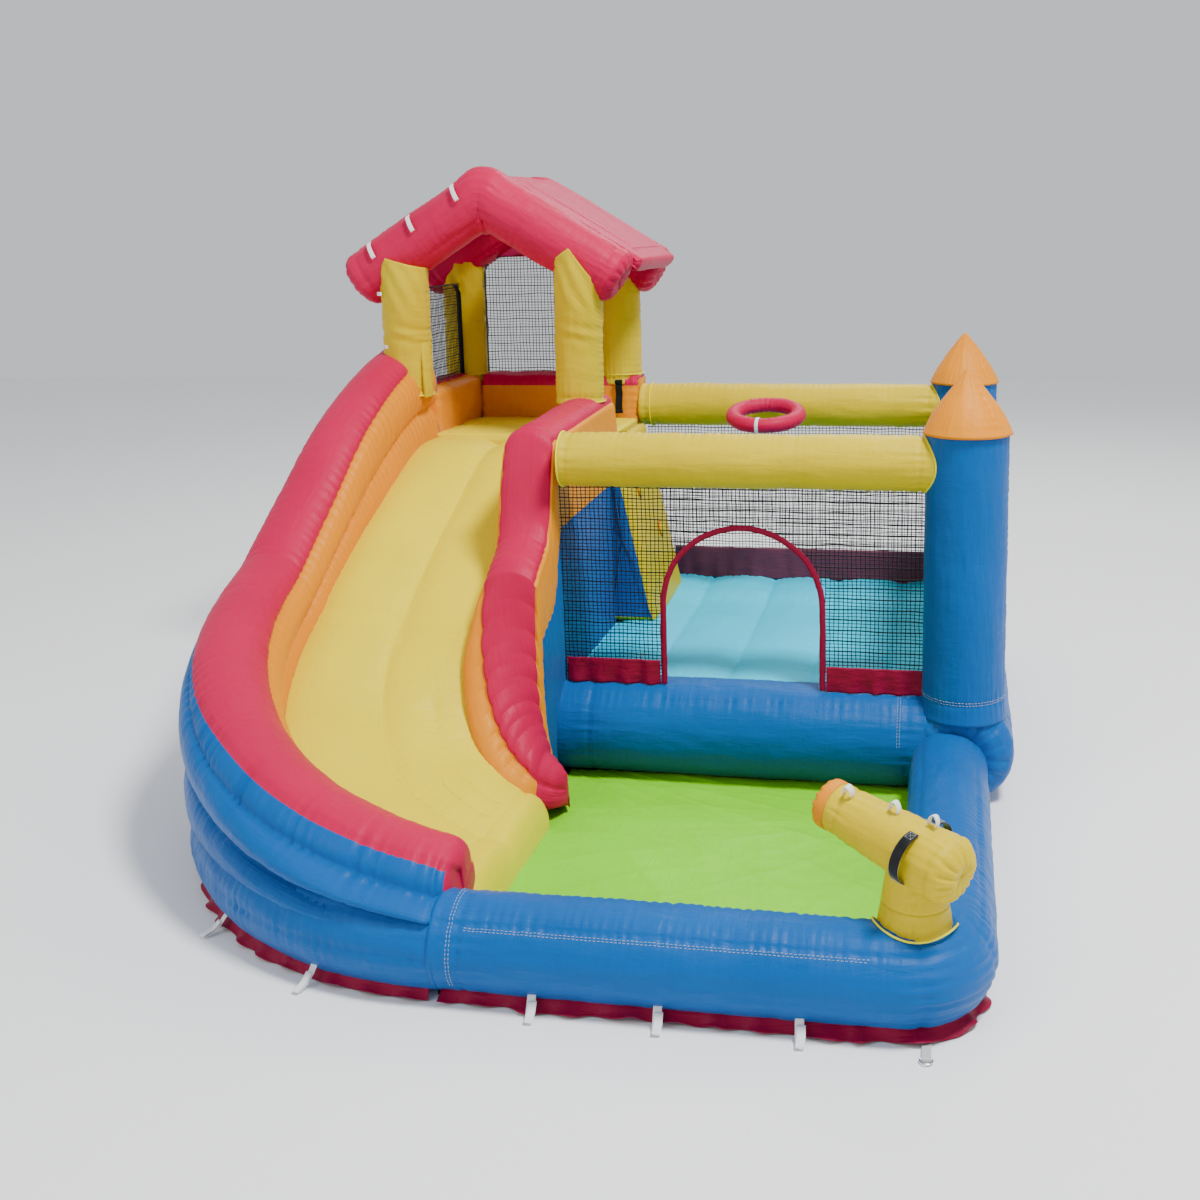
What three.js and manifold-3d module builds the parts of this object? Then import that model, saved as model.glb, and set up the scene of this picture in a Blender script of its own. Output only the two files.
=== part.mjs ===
// Inflatable bounce house: a netted bounce room, a roofed tower with a climbing ramp, a curved slide,
// a splash pool and a water cannon. Millimetres, +Z up, +X to the right, the pool towards -Y.
// The origin of the drawing is under the front corner column; the group is centred at the end.
import * as THREE from 'three';
import { mergeVertices } from 'three/addons/utils/BufferGeometryUtils.js';
import Module from 'manifold-3d';

const wasm = await Module();
wasm.setup();

// ---------- driving dimensions ----------
const GAP = 0.3;                    // clearance between pieces that touch
const SKIN = 8;                     // wall of a hollow air chamber
const SHEET = 3;                    // ground sheet thickness
const BASE_Z = SHEET + GAP;         // underside of everything that stands on the sheet
const BASE_R = 187.5;               // bounce base tubes
const POOL_R = 138;                 // splash pool tubes
const COLUMN_R = 150;
const BEAM_R = 104;
const TOWER_R = 103;
const ROOF_R = 125;
const DECK_Z = BASE_Z + 2 * BASE_R; // top of the bounce base
const COLUMN_TOP = 1355;
const CONE_TOP = 1585;
const BEAM_Z = 1243;
const ROOM_BACK = 1646;             // line of the back columns, beam and tower posts
const FRONT_TUBE_Y = 48;
const POOL_FRONT_Y = -1592;
const POOL_RIGHT_X = -47;
const POOL_BEND = 140;              // centre-line radius of the pool's rounded corner
const POOL_SEAM_Y = -1392;          // seam between the pool's front and right tubes
const NET = 4;                      // netting and trim thickness

// slide: straight lanes from the tower, then a quarter turn about BEND
const BEND = { x: -1475, y: -270, stretch: 1.08 };
const SLIDE_START = 1000;           // y where the slide meets the tower
const LANES = {                     // x at the tower, and radius in the turn
  innerFace: { x: -1535, r: 60 },
  bedInner: { x: -1742, r: 270 },
  bedOuter: { x: -2400, r: 990 },
  outerFace: { x: -2620, r: 1250 },
  footTube: { x: -2560, r: 1130 },
};
const BED_THICK = 60;
const FOOT_R = 132;

// tower
const PLATFORM_Z = 1190;
const PLATFORM_THICK = 55;
const TOWER = { left: -2560, right: -1553, back: 1750 };
const WALL_THICK = 205;
const WALL_TOP = 1400;
const POSTS = { left: -2438, right: -1650, front: 870, back: ROOM_BACK };
const ROOF = { x: -2050, half: 560, frontY: 850, backY: 1655, eaveZ: 1900, ridgeZ: 2240 };

const COLOR = {
  blue: 0x0f86d6, red: 0xd02540, yellow: 0xe8cc35, bed: 0xffee5c, orange: 0xf58f35, cyan: 0x7fdfea,
  green: 0xa8d860, maroon: 0x8c1230, black: 0x1d1d20, white: 0xf2f2f2, steel: 0xb8bcc0,
};

// ---------- building blocks ----------
const v = (x, y, z) => new THREE.Vector3(x, y, z);
const mix = (a, b, t) => a + (b - a) * t;
const steps = (n) => Array.from({ length: n + 1 }, (_, i) => i / n);

// closed solid through a row of rings, each with the same number of points
function loft(rings, looped = false) {
  const n = rings[0].length;
  const points = rings.flat();
  const index = [];
  const last = looped ? rings.length : rings.length - 1;
  for (let i = 0; i < last; i += 1) {
    const a = i * n;
    const b = ((i + 1) % rings.length) * n;
    for (let j = 0; j < n; j += 1) {
      const k = (j + 1) % n;
      index.push(a + j, a + k, b + k, a + j, b + k, b + j);
    }
  }
  if (!looped) {
    for (const [start, flip] of [[0, true], [(rings.length - 1) * n, false]]) {
      const centre = points.slice(start, start + n).reduce((s, p) => s.add(p), v(0, 0, 0)).divideScalar(n);
      points.push(centre);
      const c = points.length - 1;
      for (let j = 0; j < n; j += 1) {
        const k = (j + 1) % n;
        index.push(...(flip ? [c, start + k, start + j] : [c, start + j, start + k]));
      }
    }
  }
  let volume = 0;
  for (let i = 0; i < index.length; i += 3) {
    const [p, q, r] = [points[index[i]], points[index[i + 1]], points[index[i + 2]]];
    volume += p.dot(q.clone().cross(r));
  }
  if (volume < 0) index.reverse();
  const geometry = new THREE.BufferGeometry();
  geometry.setAttribute('position', new THREE.Float32BufferAttribute(points.flatMap((p) => [p.x, p.y, p.z]), 3));
  geometry.setIndex(index);
  return geometry;
}

function toSolid(source) {
  const geometry = source.clone();
  geometry.deleteAttribute('normal');
  geometry.deleteAttribute('uv');
  const merged = mergeVertices(geometry, 1e-3);
  return new wasm.Manifold(new wasm.Mesh({
    numProp: 3,
    vertProperties: new Float32Array(merged.attributes.position.array),
    triVerts: new Uint32Array(merged.index.array),
  }));
}

function toGeometry(solid) {
  const mesh = solid.getMesh();
  const geometry = new THREE.BufferGeometry();
  geometry.setAttribute('position', new THREE.BufferAttribute(new Float32Array(mesh.vertProperties), 3));
  geometry.setIndex(new THREE.BufferAttribute(new Uint32Array(mesh.triVerts), 1));
  return geometry;
}

// round ring about a centre, in the plane of the unit vectors across and up
function circle(centre, across, up, radius, sides) {
  return steps(sides).slice(0, sides).map((t) => {
    const a = 2 * Math.PI * t;
    return centre.clone().addScaledVector(across, radius * Math.cos(a)).addScaledVector(up, radius * Math.sin(a));
  });
}

// tube along points, its plane normal given; each end is flat, or puckered into a rounded end
function tube(points, radius, { normal = v(0, 0, 1), sides = 28, round = [false, false] } = {}) {
  const radiusAt = typeof radius === 'function' ? radius : () => radius;
  const rows = points.map((p, i) => {
    const before = points[Math.max(i - 1, 0)];
    const after = points[Math.min(i + 1, points.length - 1)];
    return { p, along: after.clone().sub(before).normalize(), r: radiusAt(i / (points.length - 1)) };
  });
  const dome = (row, side) => [[0.3, 0.4], [0.7, 0.32], [0.92, 0.17]].map(([scale, out]) => ({
    p: row.p.clone().addScaledVector(row.along, side * out * row.r), along: row.along, r: row.r * scale,
  }));
  if (round[0]) rows.unshift(...dome(rows[0], -1));
  if (round[1]) rows.push(...dome(rows[rows.length - 1], 1).reverse());
  return loft(rows.map(({ p, along, r }) => {
    const across = normal.clone().cross(along).normalize();
    const up = along.clone().cross(across).normalize();
    return circle(p, across, up, r, sides);
  }));
}

// rounded rectangle ring: corner(u, w) maps 0..1 across and a height to a point
function slab(width, bottom, top, corner, place, arcs = 3) {
  const c = Math.min(corner, width / 2 - 1, (top - bottom) / 2 - 1);
  const corners = [[width - c, bottom + c, -90], [width - c, top - c, 0], [c, top - c, 90], [c, bottom + c, 180]];
  return corners.flatMap(([cx, cz, from]) => steps(arcs).map((t) => {
    const a = THREE.MathUtils.degToRad(from + 90 * t);
    return place((cx + c * Math.cos(a)) / width, cz + c * Math.sin(a));
  }));
}

// upright rounded block between two corners, lofted along Y
function block(low, high, corner = 40) {
  const width = high.x - low.x;
  return loft([low.y, high.y].map((y) => slab(width, low.z, high.z, corner, (u, z) => v(low.x + u * width, y, z))));
}

// flat panel drawn in the XZ plane (or XY, when lying), extruded by its thickness
function panelXZ(shape, y, thick) {
  const geometry = new THREE.ExtrudeGeometry(shape, { depth: thick, bevelEnabled: false, curveSegments: 16 });
  geometry.rotateX(Math.PI / 2);
  geometry.translate(0, y + thick / 2, 0);
  return geometry;
}

function rectangle(x0, z0, x1, z1) {
  return new THREE.Shape([[x0, z0], [x1, z0], [x1, z1], [x0, z1]].map(([x, z]) => new THREE.Vector2(x, z)));
}

// ---------- slide path ----------
// t runs 0..1 down the straight, 1..2 round the turn, and past 2 straight out over the pool
function lanePoint(lane, t) {
  const run = SLIDE_START - BEND.y;
  if (t <= 1) {
    const ease = t * t * (3 - 2 * t);
    return new THREE.Vector2(mix(lane.x, BEND.x - lane.r, ease), SLIDE_START - run * t);
  }
  const a = Math.PI * (1 + Math.min(t - 1, 1) / 2);
  const out = Math.max(t - 2, 0) * 1000;
  return new THREE.Vector2(BEND.x + lane.r * Math.cos(a) + out, BEND.y + lane.r * BEND.stretch * Math.sin(a));
}

const heightCurve = (knots) => {
  const curve = new THREE.CatmullRomCurve3(knots.map(([t, z]) => v(t * 1000, 0, z)), false, 'centripetal');
  const samples = curve.getPoints(160);
  return (t) => {
    const i = samples.findIndex((p) => p.x >= t * 1000);
    if (i < 1) return i === 0 ? samples[0].z : samples[samples.length - 1].z;
    const [p, q] = [samples[i - 1], samples[i]];
    return mix(p.z, q.z, (t * 1000 - p.x) / (q.x - p.x));
  };
};
const bedTop = heightCurve([[0, PLATFORM_Z], [0.16, 1185], [0.5, 1000], [0.8, 790], [1, 630], [1.25, 440],
  [1.5, 315], [1.75, 235], [2, 165], [2.03, 130], [2.045, 60]]);
const outerTop = heightCurve([[0, 1610], [0.15, 1570], [0.5, 1370], [0.8, 1080], [1, 905], [1.25, 750], [1.5, 600],
  [1.75, 480], [1.95, 400], [2.03, 360], [2.06, 290]]);
const innerTop = heightCurve([[0, 1385], [0.5, 1365], [0.75, 1335], [0.84, 1230], [0.93, 1010], [1, 880],
  [1.25, 650], [1.5, 480], [1.75, 350], [2, 250], [2.08, 190]]);

// stretch of the slide between two lanes, from a bottom height to a top height at each station
function laneWall(inner, outer, bottomAt, topAt, { from = 0, to = 2, count = 30, corner = 60, grow = 0, deep = 0 }) {
  const endTrim = grow / 1000;
  const rings = steps(count).map((s) => {
    const t = mix(from - endTrim, to + endTrim, s);
    const tt = Math.min(Math.max(t, 0), 2.2);
    const p = lanePoint(inner, tt);
    const q = lanePoint(outer, tt);
    const width = p.distanceTo(q) + 2 * grow;
    const across = q.clone().sub(p).normalize();
    const start = p.clone().addScaledVector(across, -grow);
    const lift = t < 0 ? -t * 1270 : 0;
    return slab(width, bottomAt(tt) - grow - deep, topAt(tt) + grow, corner + grow, (u, z) => v(
      start.x + across.x * u * width, start.y + across.y * u * width + lift, z));
  });
  return loft(rings);
}

// ---------- pieces: each builder takes an outward growth, and deep pushes a cavity out of the bottom ----------
const column = (x, y, low, high, r, grow) => tube([v(x, y, low - grow), v(x, y, high + grow)], r + grow,
  { normal: v(0, 1, 0), sides: 32 });
const beam = (a, b, r, grow) => tube([a, b], r + grow, { sides: 28 });

const shapes = {
  base_tube_front: (g) => beam(v(-1560, FRONT_TUBE_Y, BASE_Z + BASE_R), v(-150, FRONT_TUBE_Y, BASE_Z + BASE_R),
    BASE_R, g),
  base_tube_right: (g) => tube([v(0, -65, BASE_Z + BASE_R), v(0, ROOM_BACK + 113, BASE_Z + BASE_R)],
    BASE_R + g, { round: [true, true], sides: 32 }),
  base_tube_back: (g) => beam(v(-1549, ROOM_BACK, BASE_Z + BASE_R), v(-150, ROOM_BACK, BASE_Z + BASE_R), BASE_R, g),
  column_front: (g) => column(0, 0, 300, COLUMN_TOP, COLUMN_R, g),
  column_back: (g) => column(0, ROOM_BACK, 300, COLUMN_TOP, COLUMN_R, g),
  beam_front: (g) => beam(v(-1533, 0, BEAM_Z), v(-100, 0, BEAM_Z), BEAM_R, g),
  beam_back: (g) => beam(v(-1552, ROOM_BACK, BEAM_Z), v(-100, ROOM_BACK, BEAM_Z), BEAM_R, g),
  beam_right: (g) => beam(v(0, 100, BEAM_Z), v(0, ROOM_BACK - 100, BEAM_Z), BEAM_R, g),
  slide_outer_wall: (g, deep = 0) => laneWall(LANES.bedOuter, LANES.outerFace, () => 150, outerTop,
    { to: 2.06, grow: g, deep }),
  slide_base_tube: (g, deep = 0) => tube(steps(26).map((s) => {
    const past = (g + deep) / 1000;
    const p = lanePoint(LANES.footTube, mix(-past, 2.06 + past, s));
    return v(p.x, p.y, BASE_Z + FOOT_R);
  }), FOOT_R + g, { sides: 24 }),
  slide_inner_wall: (g, deep = 0) => laneWall(LANES.innerFace, LANES.bedInner, () => BASE_Z, innerTop,
    { to: 2.08, grow: g, deep, corner: 45 }),
  slide_body: (g, deep = 0) => laneWall(LANES.bedInner, LANES.bedOuter, () => BASE_Z, (t) => bedTop(t) - BED_THICK,
    { to: 1.98, grow: g, deep, corner: 20 }),
  slide_bed: (g) => laneWall(LANES.bedInner, LANES.bedOuter, (t) => Math.max(bedTop(t) - BED_THICK, BASE_Z + 8),
    bedTop, { to: 2.045, count: 34, grow: g, corner: 28 }),
  tower_base: (g, deep = 0) => block(v(TOWER.left - g, SLIDE_START + GAP - g, BASE_Z - g - deep),
    v(TOWER.right + g, TOWER.back + g, PLATFORM_Z - PLATFORM_THICK + g), 30),
  tower_platform: (g) => block(v(TOWER.left + WALL_THICK - g, SLIDE_START + GAP - g, PLATFORM_Z - PLATFORM_THICK - g),
    v(TOWER.right + g, TOWER.back - WALL_THICK + g, PLATFORM_Z + g), 25),
  pool_tube_front: (g) => {
    const z = BASE_Z + POOL_R;
    const turn = steps(8).map((s) => {
      const a = THREE.MathUtils.degToRad(-90 + 90 * s);
      return v(POOL_RIGHT_X - POOL_BEND + POOL_BEND * Math.cos(a), POOL_FRONT_Y + POOL_BEND + POOL_BEND * Math.sin(a), z);
    });
    return tube([v(-1440, POOL_FRONT_Y, z), ...turn, v(POOL_RIGHT_X, POOL_SEAM_Y, z)], POOL_R + g, { sides: 28 });
  },
  pool_tube_right: (g) => beam(v(POOL_RIGHT_X, POOL_SEAM_Y + GAP, BASE_Z + POOL_R),
    v(POOL_RIGHT_X, 20, BASE_Z + POOL_R), POOL_R, g),
};

const solidOf = (name, grow = 0, deep = 0) => toSolid(shapes[name](grow, deep));
const cutBy = (solid, ...names) => names.reduce((s, name) => s.subtract(solidOf(name, GAP)), solid);
const hollow = (name, deep) => solidOf(name).subtract(solidOf(name, -SKIN, deep));

const group = new THREE.Group();
function add(name, source, color, roughness = 0.6, metalness = 0) {
  const geometry = source.isBufferGeometry ? source : toGeometry(source);
  const mesh = new THREE.Mesh(geometry, new THREE.MeshStandardMaterial({ color, roughness, metalness }));
  mesh.name = name;
  group.add(mesh);
}

// ---------- ground sheet and splash pool ----------
function groundSheet() {
  const edge = { right: 80, back: ROOM_BACK + 80, front: POOL_FRONT_Y - 60, poolRight: POOL_RIGHT_X + 60 };
  const rim = { x: TOWER.left, r: LANES.footTube.r + 70 };
  const outline = [new THREE.Vector2(edge.right, edge.back), new THREE.Vector2(TOWER.left, edge.back)];
  for (const s of steps(20)) outline.push(lanePoint(rim, s * 2));
  outline.push(new THREE.Vector2(-1440, edge.front), new THREE.Vector2(edge.poolRight - 90, edge.front));
  outline.push(new THREE.Vector2(edge.poolRight, edge.front + 90), new THREE.Vector2(edge.poolRight, -120));
  outline.push(new THREE.Vector2(edge.right, -60));
  return new THREE.ExtrudeGeometry(new THREE.Shape(outline), { depth: SHEET, bevelEnabled: false });
}
add('ground_sheet', groundSheet(), COLOR.maroon);
add('pool_tube_front', cutBy(solidOf('pool_tube_front'), 'slide_outer_wall', 'slide_base_tube'), COLOR.blue);
add('pool_tube_right', cutBy(solidOf('pool_tube_right'), 'base_tube_front', 'base_tube_right'), COLOR.blue);
function poolFloor() {
  const [left, right, front, back] = [-1410, POOL_RIGHT_X - 60, POOL_FRONT_Y + 60, FRONT_TUBE_Y - 62];
  const corner = 60;
  const outline = [[left, front], [right - corner, front], [right, front + corner], [right, back], [left, back]];
  const sheet = new THREE.ExtrudeGeometry(new THREE.Shape(outline.map(([x, y]) => new THREE.Vector2(x, y))),
    { depth: 7, bevelEnabled: false });
  return sheet.translate(0, 0, BASE_Z);
}
add('pool_floor', cutBy(toSolid(poolFloor()), 'slide_inner_wall', 'slide_bed', 'slide_outer_wall', 'slide_base_tube'),
  COLOR.green);

// ---------- bounce room ----------
const BASE_AXIS_Z = BASE_Z + BASE_R;
const airPort = toSolid(beam(v(-260, FRONT_TUBE_Y, BASE_AXIS_Z), v(0, FRONT_TUBE_Y, BASE_AXIS_Z), 80, 0));
add('base_tube_front', cutBy(hollow('base_tube_front'), 'base_tube_right', 'slide_inner_wall'), COLOR.blue);
add('base_tube_back', cutBy(hollow('base_tube_back'), 'base_tube_right', 'tower_base'), COLOR.blue);
add('base_tube_right', hollow('base_tube_right').subtract(airPort), COLOR.blue);

const FLOOR = { left: -1533, right: -20, front: 90, back: ROOM_BACK - 30, top: DECK_Z - 8, pitch: 309, seam: -585 };
function floorBlock(grow, deep) {
  const low = BASE_Z - grow - deep;
  const left = FLOOR.left - grow;
  const right = FLOOR.right + grow;
  const crown = steps(40).map((s) => {
    const x = mix(right, left, s);
    const wave = Math.abs(Math.sin((Math.PI * (x - FLOOR.seam)) / FLOOR.pitch));
    return [x, FLOOR.top + grow - 24 * (1 - wave)];
  });
  const outline = [[left, low], [right, low], ...crown];
  return loft([FLOOR.front - grow, FLOOR.back + grow].map((y) => outline.map(([x, z]) => v(x, y, z))));
}
const bounceFloor = toSolid(floorBlock(0, 0)).subtract(toSolid(floorBlock(-SKIN, 60)));
const FLOOR_NEIGHBOURS = ['base_tube_front', 'base_tube_right', 'base_tube_back', 'column_front', 'column_back',
  'slide_inner_wall', 'tower_base'];
add('bounce_floor', cutBy(bounceFloor, ...FLOOR_NEIGHBOURS), COLOR.cyan);
for (let i = 0; i < 4; i += 1) {
  const x = FLOOR.seam + (i - 2) * FLOOR.pitch;
  add(`floor_baffle_${i + 1}`, block(v(x - 1.5, 250, BASE_Z + 2), v(x + 1.5, ROOM_BACK - 205, FLOOR.top - 45), 1),
    COLOR.white);
}

for (const [side, y] of [['front', 0], ['back', ROOM_BACK]]) {
  const base = side === 'front' ? 'base_tube_front' : 'base_tube_back';
  const foot = cutBy(hollow(`column_${side}`, 80), base, 'base_tube_right');
  add(`column_${side}`, foot, COLOR.blue);
  const cone = tube([v(0, y, COLUMN_TOP + GAP), v(0, y, CONE_TOP)], (s) => mix(COLUMN_R + 2, 10, s),
    { normal: v(0, 1, 0), sides: 32 });
  add(`cone_${side}`, cone, COLOR.orange);
}
add('beam_front', cutBy(hollow('beam_front'), 'column_front'), COLOR.yellow);
add('beam_back', cutBy(hollow('beam_back'), 'column_back'), COLOR.yellow);
add('beam_right', cutBy(hollow('beam_right'), 'column_front', 'column_back'), COLOR.yellow);

// entrance: an arch with straight sides, open at the floor
const DOOR = { left: -1122, right: -517, spring: 690, top: 990 };
function doorOutline(extra) {
  const middle = (DOOR.left + DOOR.right) / 2;
  const half = (DOOR.right - DOOR.left) / 2 + extra;
  const rise = DOOR.top - DOOR.spring + extra;
  const points = [new THREE.Vector2(middle + half, 200)];
  for (const s of steps(18)) {
    const a = Math.PI * s;
    points.push(new THREE.Vector2(middle + half * Math.cos(a), DOOR.spring + rise * Math.sin(a)));
  }
  points.push(new THREE.Vector2(middle - half, 200));
  return new THREE.Shape(points);
}
const doorHole = toSolid(panelXZ(doorOutline(0), 0, 60));
const ROOM_FRAME = ['base_tube_front', 'base_tube_back', 'base_tube_right', 'column_front', 'column_back',
  'beam_front', 'beam_back', 'beam_right', 'slide_inner_wall', 'tower_base'];
const frontNet = toSolid(panelXZ(rectangle(-1530, 300, -120, 1160), 0, NET)).subtract(doorHole);
add('net_front', cutBy(frontNet, ...ROOM_FRAME), COLOR.black);
const trimBand = toSolid(panelXZ(doorOutline(24), -NET - GAP, NET)).subtract(doorHole);
add('entrance_trim', cutBy(trimBand, 'base_tube_front'), COLOR.maroon);
for (const [side, x0, x1] of [['left', -1480, DOOR.left - 26], ['right', DOOR.right + 26, -160]]) {
  const band = toSolid(panelXZ(rectangle(x0, 300, x1, 470), -NET - GAP, NET));
  add(`net_skirt_${side}`, cutBy(band, 'base_tube_front', 'column_front'), COLOR.maroon);
}
add('net_back', cutBy(toSolid(panelXZ(rectangle(-1545, 300, -120, 1160), ROOM_BACK, NET)), ...ROOM_FRAME),
  COLOR.black);
add('net_right', cutBy(toSolid(block(v(-NET / 2, 120, 300), v(NET / 2, ROOM_BACK - 120, 1160), 1)), ...ROOM_FRAME),
  COLOR.black);
const backBand = toSolid(panelXZ(rectangle(-1330, 300, -160, 540), ROOM_BACK - NET - GAP, NET));
add('net_band_back', cutBy(backBand, 'base_tube_back', 'column_back'), COLOR.maroon);

// ---------- slide ----------
add('slide_base_tube', cutBy(hollow('slide_base_tube', 20), 'slide_body'), COLOR.blue);
const outerWall = hollow('slide_outer_wall', 200);
add('slide_outer_wall', cutBy(outerWall, 'slide_base_tube', 'slide_body', 'slide_bed'), COLOR.red);
add('slide_inner_wall', cutBy(hollow('slide_inner_wall', 60), 'slide_body', 'slide_bed', 'beam_front'), COLOR.red);
add('slide_body', hollow('slide_body', 60), COLOR.blue);
add('slide_bed', cutBy(solidOf('slide_bed'), 'slide_body'), COLOR.bed);

// ---------- tower ----------
const gablePath = (y) => {
  const slope = (ROOF.ridgeZ - ROOF.eaveZ) / ROOF.half;
  const bend = 60;
  const top = [-1, -0.5, 0, 0.5, 1].map((s) => v(ROOF.x + bend * s, y, ROOF.ridgeZ - (slope * bend * (1 + s * s)) / 2));
  return [v(ROOF.x - ROOF.half, y, ROOF.eaveZ), ...top, v(ROOF.x + ROOF.half, y, ROOF.eaveZ)];
};
Object.assign(shapes, {
  platform_wall_left: (g) => block(v(TOWER.left - g, SLIDE_START + GAP - g, PLATFORM_Z - PLATFORM_THICK - g),
    v(TOWER.left + WALL_THICK - GAP + g, TOWER.back + g, WALL_TOP + g), 55),
  platform_wall_back: (g) => block(v(TOWER.left + WALL_THICK - g, TOWER.back - WALL_THICK + GAP - g,
    PLATFORM_Z - PLATFORM_THICK - g), v(TOWER.right + g, TOWER.back + g, WALL_TOP + g), 30),
  roof_gable_front: (g) => tube(gablePath(ROOF.frontY), ROOF_R + g, { normal: v(0, 1, 0), round: [true, true] }),
  roof_gable_back: (g) => tube(gablePath(ROOF.backY), ROOF_R + g, { normal: v(0, 1, 0), round: [true, true] }),
});
add('tower_base', cutBy(hollow('tower_base', 60), 'slide_base_tube'), COLOR.blue);
add('tower_platform', cutBy(solidOf('tower_platform'), 'tower_base'), COLOR.bed);
add('platform_wall_left', cutBy(solidOf('platform_wall_left'), 'tower_base'), COLOR.orange);
add('platform_wall_back', cutBy(solidOf('platform_wall_back'), 'tower_base'), COLOR.orange);

const WALLS = ['slide_outer_wall', 'slide_inner_wall', 'platform_wall_left', 'platform_wall_back'];
const ROOF_TUBES = ['roof_gable_front', 'roof_gable_back'];
for (const side of ['left', 'right']) {
  for (const end of ['front', 'back']) {
    const foot = end === 'front' && side === 'left' ? 1405 : 1350;
    const post = toSolid(column(POSTS[side], POSTS[end], foot, 2000, TOWER_R, 0));
    add(`tower_post_${end}_${side}`, cutBy(post, ...WALLS, ...ROOF_TUBES), COLOR.yellow);
  }
}
for (const end of ['front', 'back']) add(`roof_gable_${end}`, solidOf(`roof_gable_${end}`), COLOR.red);

// pitched pad between the gable tubes; side is -1 for the left slope and 1 for the right
function roofPad(side) {
  const slope = Math.atan2(ROOF.ridgeZ - ROOF.eaveZ, ROOF.half);
  const [along, up] = [[side * Math.cos(slope), -Math.sin(slope)], [side * Math.sin(slope), Math.cos(slope)]];
  const reach = ROOF.half / Math.cos(slope) - 20;
  const [under, over] = [46, 108];
  const middle = (under + over) / 2;
  const fold = steps(6).map((s) => {
    const a = Math.PI * (s - 0.5);
    return [reach + (over - under) / 2 * Math.cos(a), middle + (over - under) / 2 * Math.sin(a)];
  });
  const ridgeX = ROOF.x + side * GAP;
  const slanted = fold.map(([l, h]) => [ROOF.x + along[0] * l + up[0] * h, ROOF.ridgeZ + along[1] * l + up[1] * h]);
  const outline = [[ridgeX, ROOF.ridgeZ + under / Math.cos(slope)], ...slanted,
    [ridgeX, ROOF.ridgeZ + over / Math.cos(slope)]];
  return loft([ROOF.frontY, ROOF.backY].map((y) => outline.map(([x, z]) => v(x, y, z))));
}
add('roof_pad_left', cutBy(toSolid(roofPad(-1)), ...ROOF_TUBES), COLOR.red);
add('roof_pad_right', cutBy(toSolid(roofPad(1)), ...ROOF_TUBES), COLOR.red);

function cutByPosts(solid, ...places) {
  return places.reduce((rest, [x, y]) => rest.subtract(toSolid(column(x, y, 1300, 2100, TOWER_R + GAP, 0))), solid);
}
const backLeft = [POSTS.left, POSTS.back];
const backRight = [POSTS.right, POSTS.back];
const WINDOW_TOP = 1975;
const backWindow = toSolid(panelXZ(rectangle(POSTS.left, WALL_TOP + GAP, POSTS.right, WINDOW_TOP), POSTS.back, NET));
add('window_net_back', cutByPosts(cutBy(backWindow, 'roof_gable_back'), backLeft, backRight), COLOR.black);
const leftWindow = toSolid(block(v(POSTS.left - NET / 2, POSTS.front, WALL_TOP + GAP), v(POSTS.left + NET / 2,
  POSTS.back, 1850), 1));
add('window_net_left', cutByPosts(cutBy(leftWindow, 'slide_outer_wall', ...ROOF_TUBES), backLeft,
  [POSTS.left, POSTS.front]), COLOR.black);
const gableInfill = new THREE.Shape([[-185, WINDOW_TOP + GAP], [185, WINDOW_TOP + GAP], [0, WINDOW_TOP + 100]]
  .map(([x, z]) => new THREE.Vector2(ROOF.x + x, z)));
add('gable_panel_back', panelXZ(gableInfill, POSTS.back, NET), COLOR.red);

// ---------- climbing ramp ----------
const RAMP = { back: -1533, foot: -1335, lip: -1478, front: 830, rear: 1455, low: DECK_Z - 7, high: PLATFORM_Z - 15 };
const rampX = (z) => mix(RAMP.foot, RAMP.lip, (z - RAMP.low) / (RAMP.high - 60 - RAMP.low));
function rampBlock() {
  const lip = steps(4).map((s) => {
    const a = (Math.PI / 2) * s;
    return [RAMP.back + (RAMP.lip - RAMP.back) * Math.cos(a), RAMP.high - 60 + 60 * Math.sin(a)];
  });
  const outline = [[RAMP.back, RAMP.low], [RAMP.foot, RAMP.low], ...lip];
  return loft([RAMP.front, RAMP.rear].map((y) => outline.map(([x, z]) => v(x, y, z))));
}
add('climbing_ramp', rampBlock(), COLOR.yellow);
for (const [i, [y, z]] of [[1050, 930], [1270, 700]].entries()) {
  const out = v(1, 0, 0.2).normalize();
  const foot = v(rampX(z), y, z).addScaledVector(out, 2);
  add(`climb_hold_${i + 1}`, tube([foot, foot.clone().addScaledVector(out, 14)], 34,
    { normal: v(0, 1, 0), sides: 16, round: [false, true] }), COLOR.yellow);
}

// ---------- ball hoop: a ring and its sewn tab, both hinged at the back beam ----------
const HOOP = { x: -900, ring: 155, tube: 30, hingeY: 1545, hingeZ: 1276, reach: 62, droop: 11, tabWide: 120 };
const placeHoop = (geometry) => geometry.rotateX(THREE.MathUtils.degToRad(HOOP.droop))
  .translate(HOOP.x, HOOP.hingeY, HOOP.hingeZ);
const hoopTorus = (grow) => placeHoop(new THREE.TorusGeometry(HOOP.ring, HOOP.tube + grow, 14, 36)
  .translate(0, -HOOP.reach - HOOP.ring, 0));
add('hoop_ring', hoopTorus(0), COLOR.red);
const tab = placeHoop(block(v(-HOOP.tabWide / 2, -HOOP.reach + 5, -NET / 2), v(HOOP.tabWide / 2, -2, NET / 2), 1));
add('hoop_tab', cutBy(toSolid(tab).subtract(toSolid(hoopTorus(GAP))), 'beam_back'), COLOR.red);

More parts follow.
